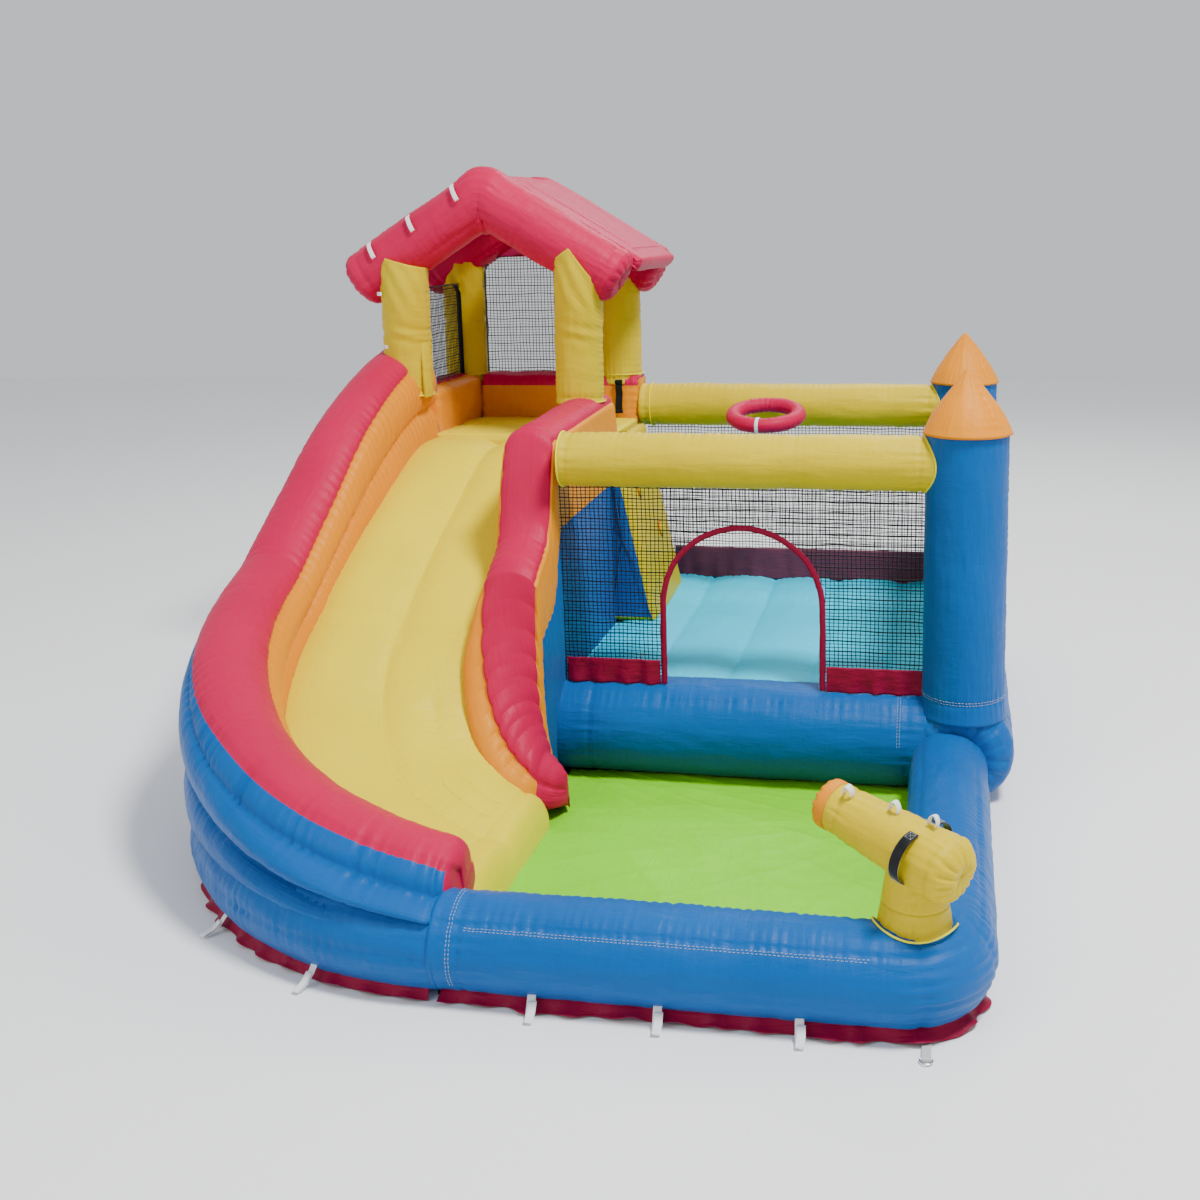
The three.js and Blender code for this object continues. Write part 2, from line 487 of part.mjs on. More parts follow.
// ---------- water cannon on the pool's corner ----------
const CANNON = { x: -132, y: -1540, footR: 110, neckR: 74, postTop: 330, neckTop: 440, rearR: 96, tipR: 71 };
const REAR = v(-55, -1600, 452);
const TIP = v(-347, -1400, 517);
const AIM = TIP.clone().sub(REAR).normalize();
const SIDE = AIM.clone().cross(v(0, 0, 1)).normalize();
const RISE = SIDE.clone().cross(AIM);
const TILT_CENTRE = v(CANNON.x, CANNON.y, 472);
const TILT_LIMIT = 12;
const TIP_LENGTH = 55;
const barrelRadius = (s) => mix(CANNON.rearR, CANNON.tipR, s);
function barrel(grow, tilt = 0) {
  const points = steps(4).map((s) => REAR.clone().lerp(TIP, s));
  const geometry = tube(points, (s) => barrelRadius(s) + grow, { round: [true, false], sides: 26 });
  geometry.translate(-TILT_CENTRE.x, -TILT_CENTRE.y, -TILT_CENTRE.z);
  geometry.applyMatrix4(new THREE.Matrix4().makeRotationAxis(SIDE, THREE.MathUtils.degToRad(tilt)));
  geometry.translate(TILT_CENTRE.x, TILT_CENTRE.y, TILT_CENTRE.z);
  return toSolid(geometry);
}
const upright = (low, high, from, to) => tube([v(CANNON.x, CANNON.y, low), v(CANNON.x, CANNON.y, high)],
  (s) => mix(from, to, s), { normal: v(0, 1, 0) });
const post = toSolid(upright(200, CANNON.postTop, CANNON.footR, CANNON.neckR + 16));
add('cannon_post', cutBy(post, 'pool_tube_front', 'pool_tube_right'), COLOR.yellow);
let neck = toSolid(upright(CANNON.postTop + GAP, CANNON.neckTop, CANNON.neckR + 16, CANNON.neckR));
for (const tilt of [-1, -0.5, 0, 0.5, 1]) neck = neck.subtract(barrel(2, tilt * (TILT_LIMIT + 1)));
add('cannon_neck', neck, COLOR.yellow);
add('cannon_barrel', barrel(0), COLOR.yellow);
const tipStart = TIP.clone().addScaledVector(AIM, GAP);
add('cannon_tip', tube([tipStart, tipStart.clone().addScaledVector(AIM, TIP_LENGTH)], (s) => CANNON.tipR - 6 * s,
  { round: [false, true], sides: 26 }), COLOR.orange);

// webbing handle that stands off the barrel's side; facing is -1 or 1
function handle(facing) {
  const centre = REAR.clone().addScaledVector(AIM, 95);
  const radius = barrelRadius(0.26);
  const rings = steps(14).map((s) => {
    const a = THREE.MathUtils.degToRad(mix(62, -25, s));
    const out = SIDE.clone().multiplyScalar(facing * Math.cos(a)).addScaledVector(RISE, Math.sin(a));
    const stand = radius + 1 + 28 * Math.sin(Math.PI * s);
    return [[-12, -1.5], [12, -1.5], [12, 1.5], [-12, 1.5]].map(([w, h]) => centre.clone()
      .addScaledVector(out, stand + h).addScaledVector(AIM, w));
  });
  return toSolid(loft(rings)).subtract(barrel(GAP));
}
add('cannon_handle_left', handle(-1), COLOR.black);
add('cannon_handle_right', handle(1), COLOR.black);

// ---------- corner anchor: a webbing loop sewn under the pool tube, with a D-ring ----------
const ANCHOR = { x: -95, y: -1757, z: 5.8, wire: 2.5, loopR: 5.4, width: 25 };
const anchorEye = v(ANCHOR.x, ANCHOR.y, ANCHOR.z);
const eyeBar = (r, half) => toSolid(tube([anchorEye.clone().setX(ANCHOR.x - half),
  anchorEye.clone().setX(ANCHOR.x + half)], r, { sides: 16 }));
const tail = toSolid(block(v(ANCHOR.x - ANCHOR.width / 2, ANCHOR.y + 4, BASE_Z + 0.2), v(ANCHOR.x + ANCHOR.width / 2,
  POOL_FRONT_Y - 40, BASE_Z + 4.2), 1));
add('anchor_strap', tail.add(eyeBar(ANCHOR.loopR, ANCHOR.width / 2)).subtract(eyeBar(ANCHOR.wire + 0.7, 30)),
  COLOR.white);
function dRing() {
  const half = 17;
  const arc = steps(14).map((s) => Math.PI * (1 + s)).map((a) => v(half * Math.cos(a), 1.2 * half * Math.sin(a), 0));
  const bar = [v(half - 3, 1.5, 0), v(0, 1.5, 0), v(3 - half, 1.5, 0)];
  const path = [...arc, ...bar];
  const rings = path.map((p, i) => {
    const along = path[(i + 1) % path.length].clone().sub(path[(i + path.length - 1) % path.length]).normalize();
    const centre = p.clone().add(anchorEye).setY(p.y + ANCHOR.y - 1.5);
    return circle(centre, v(0, 0, 1).cross(along).normalize(), v(0, 0, 1), ANCHOR.wire, 10);
  });
  return loft(rings, true);
}
add('anchor_d_ring', dRing(), COLOR.steel, 0.3, 1);

// ---------- inflation sleeve behind the back tube ----------
const SLEEVE = { x: -1200, end: 2060, r: 98, wall: 5 };
const sleeve = (r, start, end) => toSolid(tube([v(SLEEVE.x, start, SLEEVE.r + BASE_Z), v(SLEEVE.x, end,
  SLEEVE.r + BASE_Z)], r, { sides: 28 }));
const sleeveWall = sleeve(SLEEVE.r, ROOM_BACK + 80, SLEEVE.end).subtract(sleeve(SLEEVE.r - SLEEVE.wall, 1500, 2200));
add('inflation_sleeve', cutBy(sleeveWall, 'base_tube_back'), COLOR.blue);

// stand the model on the origin, centred
const box = new THREE.Box3().setFromObject(group);
const centre = box.getCenter(new THREE.Vector3());
group.position.set(-centre.x, -centre.y, -box.min.z);
group.updateMatrixWorld(true);

export default group;
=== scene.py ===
"""Looks for the inflatable bounce house: its fabric skins, seams, nets, webbing, light and camera.

Lengths are in metres. Shapes are worked out in a drawing frame whose origin is on the ground under the
front corner column (x to the right, y to the back), and place() moves them to the row frame.
"""
import math

import bmesh
import bpy
import numpy as np
from mathutils import Matrix, Vector
from mathutils.bvhtree import BVHTree


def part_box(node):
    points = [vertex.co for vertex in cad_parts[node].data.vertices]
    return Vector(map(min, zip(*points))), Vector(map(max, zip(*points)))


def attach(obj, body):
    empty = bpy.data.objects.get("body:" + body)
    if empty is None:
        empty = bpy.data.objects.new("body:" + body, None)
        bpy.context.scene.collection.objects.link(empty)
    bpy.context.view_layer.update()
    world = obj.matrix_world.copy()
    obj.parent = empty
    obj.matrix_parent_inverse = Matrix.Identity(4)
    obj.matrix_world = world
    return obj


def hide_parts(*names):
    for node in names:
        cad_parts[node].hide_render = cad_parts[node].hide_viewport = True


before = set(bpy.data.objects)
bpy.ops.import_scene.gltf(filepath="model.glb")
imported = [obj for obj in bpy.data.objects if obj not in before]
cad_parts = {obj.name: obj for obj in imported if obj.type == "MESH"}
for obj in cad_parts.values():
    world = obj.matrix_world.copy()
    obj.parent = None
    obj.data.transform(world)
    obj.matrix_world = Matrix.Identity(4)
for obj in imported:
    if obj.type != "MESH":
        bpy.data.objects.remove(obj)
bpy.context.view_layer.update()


def middle_of(node):
    low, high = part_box(node)
    return (np.array(low) + np.array(high)) / 2


def size_of(node):
    low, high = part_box(node)
    return np.array(high) - np.array(low)


# ---------- driving dimensions, from the frame ----------
ORIGIN = middle_of("column_front") * [1, 1, 0]
COLUMN_R = size_of("column_front")[0] / 2
BASE_R = size_of("base_tube_front")[2] / 2
POOL_R = size_of("pool_tube_right")[0] / 2
BEAM_R = size_of("beam_front")[2] / 2
POST_R = size_of("tower_post_back_left")[0] / 2
ROOF_R = size_of("roof_gable_front")[1] / 2
GROUND = size_of("ground_sheet")[2]
ROOM_BACK = float((middle_of("column_back") - ORIGIN)[1])
BEAM_Z = float(middle_of("beam_front")[2])
COLUMN_TOP = float(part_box("column_front")[1][2])
CONE_TOP = float(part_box("cone_front")[1][2])

UP = np.array([0.0, 0.0, 1.0])


def place(points):
    return np.asarray(points, float) + ORIGIN


def mix(a, b, t):
    return a + (b - a) * t


def unit(vectors):
    return vectors / np.maximum(np.linalg.norm(vectors, axis=-1, keepdims=True), 1e-9)


def ease(t):
    t = np.clip(t, 0, 1)
    return t * t * (3 - 2 * t)


# ---------- noise and wrinkles, the same on each run ----------
CELLS = 64
TABLE = np.random.default_rng(7).random((CELLS, CELLS))


def noise(x, y=0.0, seed=0):
    """Smooth noise from 0 to 1, one cell to a unit of x and y."""
    x, y = np.broadcast_arrays(np.asarray(x, float) + 17.31 * seed, np.asarray(y, float) + 7.77 * seed)
    i, j = np.floor(x).astype(int), np.floor(y).astype(int)
    f, g = ease(x - i), ease(y - j)
    i, j, k, m = i % CELLS, j % CELLS, (i + 1) % CELLS, (j + 1) % CELLS
    return mix(mix(TABLE[i, j], TABLE[k, j], f), mix(TABLE[i, m], TABLE[k, m], f), g)


def crumple(x, y, seed=0):
    """Noise about 0 with finer noise on it."""
    parts = [(noise(x * f, y * f, seed + 3 * f) - 0.5) / f for f in (1, 2, 4)]
    return sum(parts)


def gather(away, along, pitch=0.03, reach=0.05, depth=0.004, seed=0):
    """Puckers square to a seam: how far the cloth is pulled in, away from the seam and along it."""
    wave = along / pitch + 1.6 * noise(along / (2.7 * pitch), 0, seed)
    strength = 0.25 + 0.75 * noise(along / (1.9 * pitch), 3, seed + 1)
    fade = reach * (0.45 + noise(along / (1.3 * pitch), 5, seed + 2))
    ridge = np.abs(np.sin(np.pi * wave)) ** 0.8
    return -depth * strength * (1 - ridge) * np.exp(-away / fade)


def groove(away, wide=0.007, depth=0.004):
    return -depth * np.exp(-((away / wide) ** 2))


# ---------- meshes from grids of points ----------
def normals_of(grid, wrap):
    along = np.gradient(grid, axis=0)
    around = (np.roll(grid, -1, 1) - np.roll(grid, 1, 1)) if wrap else np.gradient(grid, axis=1)
    return unit(np.cross(around, along))


def build(name, grid, materials, wrap=True, uv=None, bands=None, closed_ends=True, bulge=None):
    """A mesh over a grid of points. wrap joins each row's ends; bands picks a material for each face."""
    grid = np.array(grid, float)
    rows, cols = grid.shape[:2]
    if bulge is not None:
        outward = normals_of(grid, wrap)
        if wrap:
            centres = grid.mean(axis=1, keepdims=True)
            outward *= np.sign(np.sum(outward * (grid - centres)))
        grid = grid + outward * bulge[..., None]
    count = cols if wrap else cols - 1
    i, j = np.meshgrid(np.arange(rows - 1), np.arange(count), indexing="ij")
    k = (j + 1) % cols
    quads = np.stack([i * cols + j, (i + 1) * cols + j, (i + 1) * cols + k, i * cols + k], -1).reshape(-1, 4)
    if uv is None:
        along = np.linalg.norm(np.diff(grid, axis=0), axis=2).mean(1)
        across = np.linalg.norm(np.diff(grid[:, list(range(cols)) + [0]], axis=1), axis=2).mean(0)
        u = np.concatenate([[0], np.cumsum(along)])
        w = np.concatenate([[0], np.cumsum(across)])
        uv = np.stack(np.meshgrid(u, w, indexing="ij"), -1)
    uvs = np.stack([uv[i, j], uv[i + 1, j], uv[i + 1, j + 1], uv[i, j + 1]], 2).reshape(-1, 2)
    points = grid.reshape(-1, 3)
    picked = np.zeros(len(quads), int) if bands is None else np.broadcast_to(bands, i.shape).reshape(-1)
    loops, starts = quads.reshape(-1), np.arange(len(quads)) * 4
    if wrap and closed_ends:
        for first, turned in ((0, False), ((rows - 1) * cols, True)):
            ring = first + np.arange(cols)
            hub = len(points)
            points = np.vstack([points, points[ring].mean(0)])
            fan = np.stack([np.full(cols, hub), ring, np.roll(ring, -1)], -1)
            fan = fan[:, ::-1] if turned else fan
            starts = np.concatenate([starts, len(loops) + np.arange(cols) * 3])
            loops = np.concatenate([loops, fan.reshape(-1)])
            ring_uv = uv[0 if first == 0 else -1, :cols]
            uvs = np.vstack([uvs, np.repeat(ring_uv, 3, axis=0)])
            picked = np.concatenate([picked, np.full(cols, picked[0 if first == 0 else len(quads) - 1])])
    mesh = bpy.data.meshes.new(name)
    mesh.vertices.add(len(points))
    mesh.vertices.foreach_set("co", points.astype(np.float32).reshape(-1))
    mesh.loops.add(len(loops))
    mesh.loops.foreach_set("vertex_index", loops.astype(np.int32))
    mesh.polygons.add(len(starts))
    mesh.polygons.foreach_set("loop_start", starts.astype(np.int32))
    mesh.polygons.foreach_set("material_index", picked.astype(np.int32))
    mesh.update(calc_edges=True)
    mesh.uv_layers.new(name="cloth").data.foreach_set("uv", uvs.astype(np.float32).reshape(-1))
    mesh.validate()
    if wrap and not closed_ends:
        join_ring(mesh)
    mesh.shade_smooth()
    if wrap:
        face_out(mesh)
    for material in materials:
        mesh.materials.append(material)
    piece = bpy.data.objects.new(name, mesh)
    bpy.context.collection.objects.link(piece)
    return piece


def join_ring(mesh):
    """Joins the last row of a ring to its first, where both lie on the same points."""
    work = bmesh.new()
    work.from_mesh(mesh)
    bmesh.ops.remove_doubles(work, verts=work.verts, dist=1e-6)
    work.to_mesh(mesh)
    work.free()


def face_out(mesh):
    """Turns a closed mesh's faces outward."""
    co = np.zeros(len(mesh.vertices) * 3, np.float32)
    mesh.vertices.foreach_get("co", co)
    mesh.calc_loop_triangles()
    corners = np.zeros(len(mesh.loop_triangles) * 3, np.int32)
    mesh.loop_triangles.foreach_get("vertices", corners)
    a, b, c = (co.reshape(-1, 3)[corners.reshape(-1, 3)[:, k]].astype(float) for k in range(3))
    if np.sum(a * np.cross(b, c)) < 0:
        mesh.flip_normals()


def even(path, step):
    """Points at an even spacing along a path, and how far along each is."""
    path = np.asarray(path, float)
    at = np.concatenate([[0], np.cumsum(np.linalg.norm(np.diff(path, axis=0), axis=1))])
    s = np.linspace(0, at[-1], max(3, int(round(at[-1] / step)) + 1))
    return np.stack([np.interp(s, at, path[:, k]) for k in range(3)], -1), s


def rings(path, radius, around, up=UP):
    """Rings along a path. The first point of each ring is at its bottom, against up."""
    tangent = unit(np.gradient(path, axis=0))
    side = unit(np.cross(np.asarray(up, float), tangent))
    top = np.cross(tangent, side)
    a = np.linspace(0, 2 * np.pi, around, endpoint=False)
    radius = np.broadcast_to(radius, (len(path),))[:, None, None]
    return path[:, None] + radius * (-np.cos(a)[None, :, None] * top[:, None]
                                     + np.sin(a)[None, :, None] * side[:, None])


STAR_FOLDS = 15


def tube(name, path, radius, materials, step=0.009, up=UP, ends=("flat", "flat"), seams=(), bands=(),
         crease=0.0028, seed=0, shape=None, depth=0.0100, round_end=0.42):
    """An air tube. ends are flat, where hidden, or star: gathered to a point, as a tube's closed end is.
    seams are turns round from the bottom, bands are distances from the start with a seam round the tube."""
    path, s = even(place(path), step)
    length = s[-1]
    r = np.array([radius(x / length) for x in s]) if callable(radius) else np.full(len(s), float(radius))
    tangent = unit(np.gradient(path, axis=0))
    fold = np.zeros(len(s))
    for end, way in ((0, -1), (-1, 1)):
        if ends[end] != "star":
            continue
        a = np.linspace(0.05, 1, 16) * np.pi / 2
        out = round_end * np.sin(a) - 0.14 * np.clip((a / (np.pi / 2) - 0.75) * 4, 0, 1)
        cap = path[end] + way * r[end] * out[:, None] * tangent[end]
        cap_r = np.maximum(r[end] * np.cos(a) ** (0.55 + 0.8 * (round_end - 0.42)), 0.0015)
        cap_s = s[end] + way * r[end] * a
        if way > 0:
            path, r, s, fold = (np.concatenate(p) for p in ((path, cap), (r, cap_r), (s, cap_s), (fold, a)))
        else:
            path, r, s, fold = (np.concatenate(p) for p in
                                ((cap[::-1], path), (cap_r[::-1], r), (cap_s[::-1], s), (a[::-1], fold)))
    around = int(round(2 * np.pi * r.max() / step / 2)) * 2
    body = even_frames(path, r, around, up, fold)
    w = np.linspace(0, 2 * np.pi * r.max(), around, endpoint=False)[None, :]
    far = 2 * np.pi * r.max()
    along = s[:, None]
    bulge = crease * crumple(along / 0.16, w / 0.035, seed) + 0.7 * crease * crumple(along / 0.05, w / 0.11,
                                                                                     seed + 9)
    for k, turn in enumerate(seams):
        away = np.abs((w - turn * far + far / 2) % far - far / 2)
        bulge = bulge + gather(away, along, depth=depth, seed=seed + k) + groove(away)
    for k, at in enumerate(bands):
        away = np.abs(along - (at if at >= 0 else length + at))
        bulge = bulge + gather(away, w, reach=0.06, depth=depth, seed=seed + 20 + k) + groove(away)
    turn = np.linspace(0, 2 * np.pi, around, endpoint=False)[None, :]
    star = np.sin(2 * fold[:, None]) ** 2 * (1 - np.abs(np.sin(turn * STAR_FOLDS / 2 + seed))) ** 1.5
    bulge = bulge - 0.009 * star * (0.4 + noise(turn * 3, 1, seed))
    reach = 0.030
    if ends[0] == "flat":
        bulge = bulge * ease((along - s[0]) / reach)
    if ends[1] == "flat":
        bulge = bulge * ease((s[-1] - along) / reach)
    if shape is not None:
        body, bulge = shape(body, bulge, s, turn)
    full = np.concatenate([w[0], [far]])
    uv = np.stack(np.meshgrid(s, full, indexing="ij"), -1)
    return build(name, body, materials, uv=uv, bulge=bulge)


def even_frames(path, r, around, up, fold):
    """Rings whose frames stay still in a gathered end, where the path turns back on itself."""
    straight = path[fold == 0]
    grid = rings(straight, r[fold == 0], around, up)
    first = int(np.argmax(fold == 0))
    last = first + len(straight)
    parts = []
    for rows, model in ((range(0, first), grid[0]), (range(last, len(path)), grid[-1])):
        base = straight[0] if rows.start == 0 else straight[-1]
        base_r = r[fold == 0][0 if rows.start == 0 else -1]
        parts.append(np.array([path[i] + (model - base) * (r[i] / base_r)
                               for i in rows]).reshape(-1, around, 3))
    return np.concatenate([parts[0], grid, parts[1]])


# ---------- materials ----------
VIVID, DEEPEN = 1.7, 0.62


def linear(r, g, b):
    """A screen color as scene values, made more vivid, since the view softens strong colors."""
    values = np.array([c / 255 / 12.92 if c <= 10 else ((c / 255 + 0.055) / 1.055) ** 2.4
                       for c in (r, g, b)])
    grey = values @ [0.2126, 0.7152, 0.0722]
    return tuple(np.clip(grey + VIVID * (values - grey), 0, 1) * DEEPEN)


SHEEN_ROUGHNESS, CLOTH_SPECULAR = 0.4, 0.16
GLOSS_BELOW, GLOSS_ABOVE = 0.08, 0.1
CREASE_HEIGHT, CROSS_HEIGHT, THREAD_HEIGHT = 0.006, 0.004, 0.0001
CREASES_ALONG, CREASES_ACROSS = (9, 42, 9), (55, 12, 55)


def fabric(name, rgb, level=1.0, rough=0.42, sheen=0.03, wrinkle=1.0, weave=0.0011, uv=True, tone=0.12):
    """Woven coated cloth: crossed threads, fine creases, a slow change of tone and a soft sheen."""
    material = bpy.data.materials.new(name)
    material.use_nodes = True
    nodes, links = material.node_tree.nodes, material.node_tree.links
    shader = nodes["Principled BSDF"]
    shader.inputs["Sheen Weight"].default_value = sheen
    shader.inputs["Sheen Roughness"].default_value = SHEEN_ROUGHNESS
    shader.inputs["Specular IOR Level"].default_value = CLOTH_SPECULAR
    color = [value * level for value in linear(*rgb)]
    coordinates = nodes.new("ShaderNodeTexCoord").outputs["UV" if uv else "Object"]

    def scaled(x, y, z):
        mapping = nodes.new("ShaderNodeMapping")
        mapping.inputs["Scale"].default_value = (x, y, z)
        links.new(coordinates, mapping.inputs["Vector"])
        return mapping.outputs["Vector"]

    def texture(kind, vector, **settings):
        node = nodes.new(kind)
        for key, value in settings.items():
            if key in node.inputs:
                node.inputs[key].default_value = value
            else:
                setattr(node, key, value)
        links.new(vector, node.inputs["Vector"])
        return node.outputs[0]

    def bump(height, distance, strength, before=None):
        node = nodes.new("ShaderNodeBump")
        node.inputs["Distance"].default_value = distance
        node.inputs["Strength"].default_value = strength
        links.new(height, node.inputs["Height"])
        if before is not None:
            links.new(before, node.inputs["Normal"])
        return node.outputs["Normal"]

    slow = texture("ShaderNodeTexNoise", scaled(3, 3, 3), Scale=1.0, Detail=3.0)
    fine = texture("ShaderNodeTexNoise", scaled(*CREASES_ALONG), Scale=1.0, Detail=5.0,
                   Roughness=0.6, Distortion=0.6)
    cross = texture("ShaderNodeTexNoise", scaled(*CREASES_ACROSS), Scale=1.0, Detail=4.0,
                    Roughness=0.55, Distortion=1.0)
    ramp = nodes.new("ShaderNodeMix")
    ramp.data_type = "RGBA"
    ramp.inputs[6].default_value = (*[c * (1 - tone) for c in color], 1)
    ramp.inputs[7].default_value = (*[min(1, c * (1 + tone) + 0.01 * tone) for c in color], 1)
    links.new(slow, ramp.inputs[0])
    links.new(ramp.outputs[2], shader.inputs["Base Color"])
    gloss = nodes.new("ShaderNodeMapRange")
    gloss.inputs["To Min"].default_value = rough - GLOSS_BELOW
    gloss.inputs["To Max"].default_value = rough + GLOSS_ABOVE
    links.new(cross, gloss.inputs["Value"])
    links.new(gloss.outputs[0], shader.inputs["Roughness"])
    per_thread = (1 / weave, 1 / weave, 1 / weave)
    warp = texture("ShaderNodeTexWave", scaled(*per_thread), Scale=0.5, bands_direction="X")
    weft = texture("ShaderNodeTexWave", scaled(*per_thread), Scale=0.5, bands_direction="Y")
    threads = nodes.new("ShaderNodeMath")
    threads.operation = "MAXIMUM"
    links.new(warp, threads.inputs[0])
    links.new(weft, threads.inputs[1])
    normal = bump(fine, CREASE_HEIGHT * wrinkle, 0.5)
    normal = bump(cross, CROSS_HEIGHT * wrinkle, 0.35, normal)
    normal = bump(threads.outputs[0], THREAD_HEIGHT, 0.25, normal)
    links.new(normal, shader.inputs["Normal"])
    return material


BLUE = fabric("blue_fabric", (0, 128, 200), level=0.64)
RED = fabric("red_fabric", (214, 0, 100), level=0.80, rough=0.46)
YELLOW = fabric("yellow_fabric", (246, 222, 0), level=1.00)
BED = fabric("bed_fabric", (255, 232, 10), level=1.28, wrinkle=0.7)
ORANGE = fabric("orange_fabric", (255, 170, 0), level=1.20)
CYAN = fabric("cyan_fabric", (60, 206, 236), level=1.4)
GREEN = fabric("green_fabric", (165, 218, 50), level=1.4)
MAROON = fabric("maroon_fabric", (140, 0, 66), wrinkle=1.4)
WHITE = fabric("white_webbing", (240, 240, 240), level=1.5, wrinkle=0.3, weave=0.0016)
PIPING = fabric("pale_piping", (248, 242, 150), level=1.4, wrinkle=0.2)
BLACK = fabric("black_webbing", (20, 20, 22), wrinkle=0.3, weave=0.0018, sheen=0.3)
THREAD = fabric("net_thread", (24, 24, 27), wrinkle=0.2)
BAND = fabric("band_fabric", (98, 64, 76), level=1.3, wrinkle=1.4)
PINK = fabric("gable_fabric", (240, 110, 150), level=1.2, wrinkle=1.2)
TAN = fabric("flap_fabric", (214, 140, 70), wrinkle=1.0)
STITCH = fabric("stitch_thread", (225, 230, 235), wrinkle=0.1)


def settle(piece, slot, *nodes, body="house", fill=None):
    """Puts a piece on its body, and hides the CAD parts that it stands in for."""
    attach(piece, body)
    if nodes:
        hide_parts(*nodes)
    return piece


# ---------- camera, floor and light ----------
LENS, SENSOR = 42.0, 36.0
EYE = (-0.057, -5.046, 2.099)
YAW, PITCH, ROLL = 0.194, 0.179, -0.019
SHIFT = (-0.0667, -0.100)

forward = np.array([-math.sin(YAW) * math.cos(PITCH), math.cos(YAW) * math.cos(PITCH), -math.sin(PITCH)])
level = np.array([math.cos(YAW), math.sin(YAW), 0.0])
tilted = np.cross(level, forward)
right = level * math.cos(ROLL) + tilted * math.sin(ROLL)
above = -level * math.sin(ROLL) + tilted * math.cos(ROLL)
camera_data = bpy.data.cameras.new("camera")
camera_data.lens, camera_data.sensor_width = LENS, SENSOR
camera_data.shift_x, camera_data.shift_y = SHIFT
camera = bpy.data.objects.new("camera", camera_data)
turned = Matrix(np.stack([right, above, -forward], 1).tolist()).to_4x4()
camera.matrix_world = Matrix.Translation(Vector(place(EYE))) @ turned
bpy.context.collection.objects.link(camera)
bpy.context.scene.camera = camera


def area_light(name, at, size, power, toward=(0, 0, 0.8)):
    data = bpy.data.lights.new(name, "AREA")
    data.shape, data.size, data.energy = "DISK", size, power
    light = bpy.data.objects.new(name, data)
    light.location = at
    light.rotation_euler = (Vector(toward) - Vector(at)).to_track_quat("-Z", "Y").to_euler()
    bpy.context.collection.objects.link(light)


# each light's place, width and power in watts: the key is high on the right, as the sun in the photo is
LIGHTS = {
    "key": ((3.4, -2.4, 8.0), 1.7, 960),
    "fill": ((-5.0, -6.5, 5.0), 4.0, 140),
    "rim": ((1.0, 6.5, 6.5), 4.0, 240),
}
SKY_COLOR, SKY_STRENGTH = (0.93, 0.96, 1.0, 1), 0.75
for name, (at, size, power) in LIGHTS.items():
    area_light(name, at, size, power)
world = bpy.data.worlds.new("studio")
world.use_nodes = True
world.node_tree.nodes["Background"].inputs["Color"].default_value = SKY_COLOR
world.node_tree.nodes["Background"].inputs["Strength"].default_value = SKY_STRENGTH
bpy.context.scene.world = world

FLOOR_HALF, FLOOR_Z, FLOOR_GREY = 14.0, -0.0005, (0.9, 0.9, 0.9, 1)
floor_mesh = bpy.data.meshes.new("studio_floor")
corners = [(-FLOOR_HALF, -FLOOR_HALF), (FLOOR_HALF, -FLOOR_HALF), (FLOOR_HALF, FLOOR_HALF),
           (-FLOOR_HALF, FLOOR_HALF)]
floor_mesh.from_pydata([(x, y, FLOOR_Z) for x, y in corners], [], [(0, 1, 2, 3)])
floor = bpy.data.objects.new("studio_floor", floor_mesh)
bpy.context.collection.objects.link(floor)
plain = bpy.data.materials.new("studio_floor")
plain.use_nodes = True
plain.node_tree.nodes["Principled BSDF"].inputs["Base Color"].default_value = FLOOR_GREY
plain.node_tree.nodes["Principled BSDF"].inputs["Roughness"].default_value = 0.9
floor_mesh.materials.append(plain)

# ---------- small parts: ribbons, loops, stitches, piping ----------


def strip(name, path, wide, thick, across, material, wave=0.0, seed=0, step=0.006):
    """A flat strap along a path; across is the direction of its width, one or one a point."""
    path, s = even(path, step)
    tangent = unit(np.gradient(path, axis=0))
    across = np.broadcast_to(np.asarray(across, float), path.shape)
    across = unit(across - np.sum(across * tangent, 1, keepdims=True) * tangent)
    out = np.cross(tangent, across)
    path = path + out * (wave * (noise(s / 0.02, 0, seed) - 0.5))[:, None]
    half, edge = wide / 2, thick / 2
    profile = [(-half, -edge * 0.6), (-half * 0.8, -edge), (0, -edge), (half * 0.8, -edge),
               (half, -edge * 0.6), (half, edge * 0.6), (half * 0.8, edge), (0, edge),
               (-half * 0.8, edge), (-half, edge * 0.6)]
    grid = np.stack([path + across * x + out * z for x, z in profile], 1)
    return build(name, grid, [material])


def cord_ring(name, points, radius, material, closed=True):
    """A thin round trim, such as piping, along points."""
    points = np.asarray(points, float)
    if closed:
        points = np.vstack([points, points[:1]])
    path, _ = even(points, max(radius * 2.5, 0.006))
    tangent = unit(np.gradient(path, axis=0))
    guide = unit(np.cross(tangent, [0.31, 0.52, 0.79]))
    other = np.cross(tangent, guide)
    a = np.linspace(0, 2 * np.pi, 8, endpoint=False)[None, :, None]
    return build(name, path[:, None] + radius * (np.cos(a) * guide[:, None] + np.sin(a) * other[:, None]),
                 [material])


def surface_of(piece):
    mesh = piece.data
    return BVHTree.FromPolygons([v.co[:] for v in mesh.vertices], [p.vertices[:] for p in mesh.polygons])


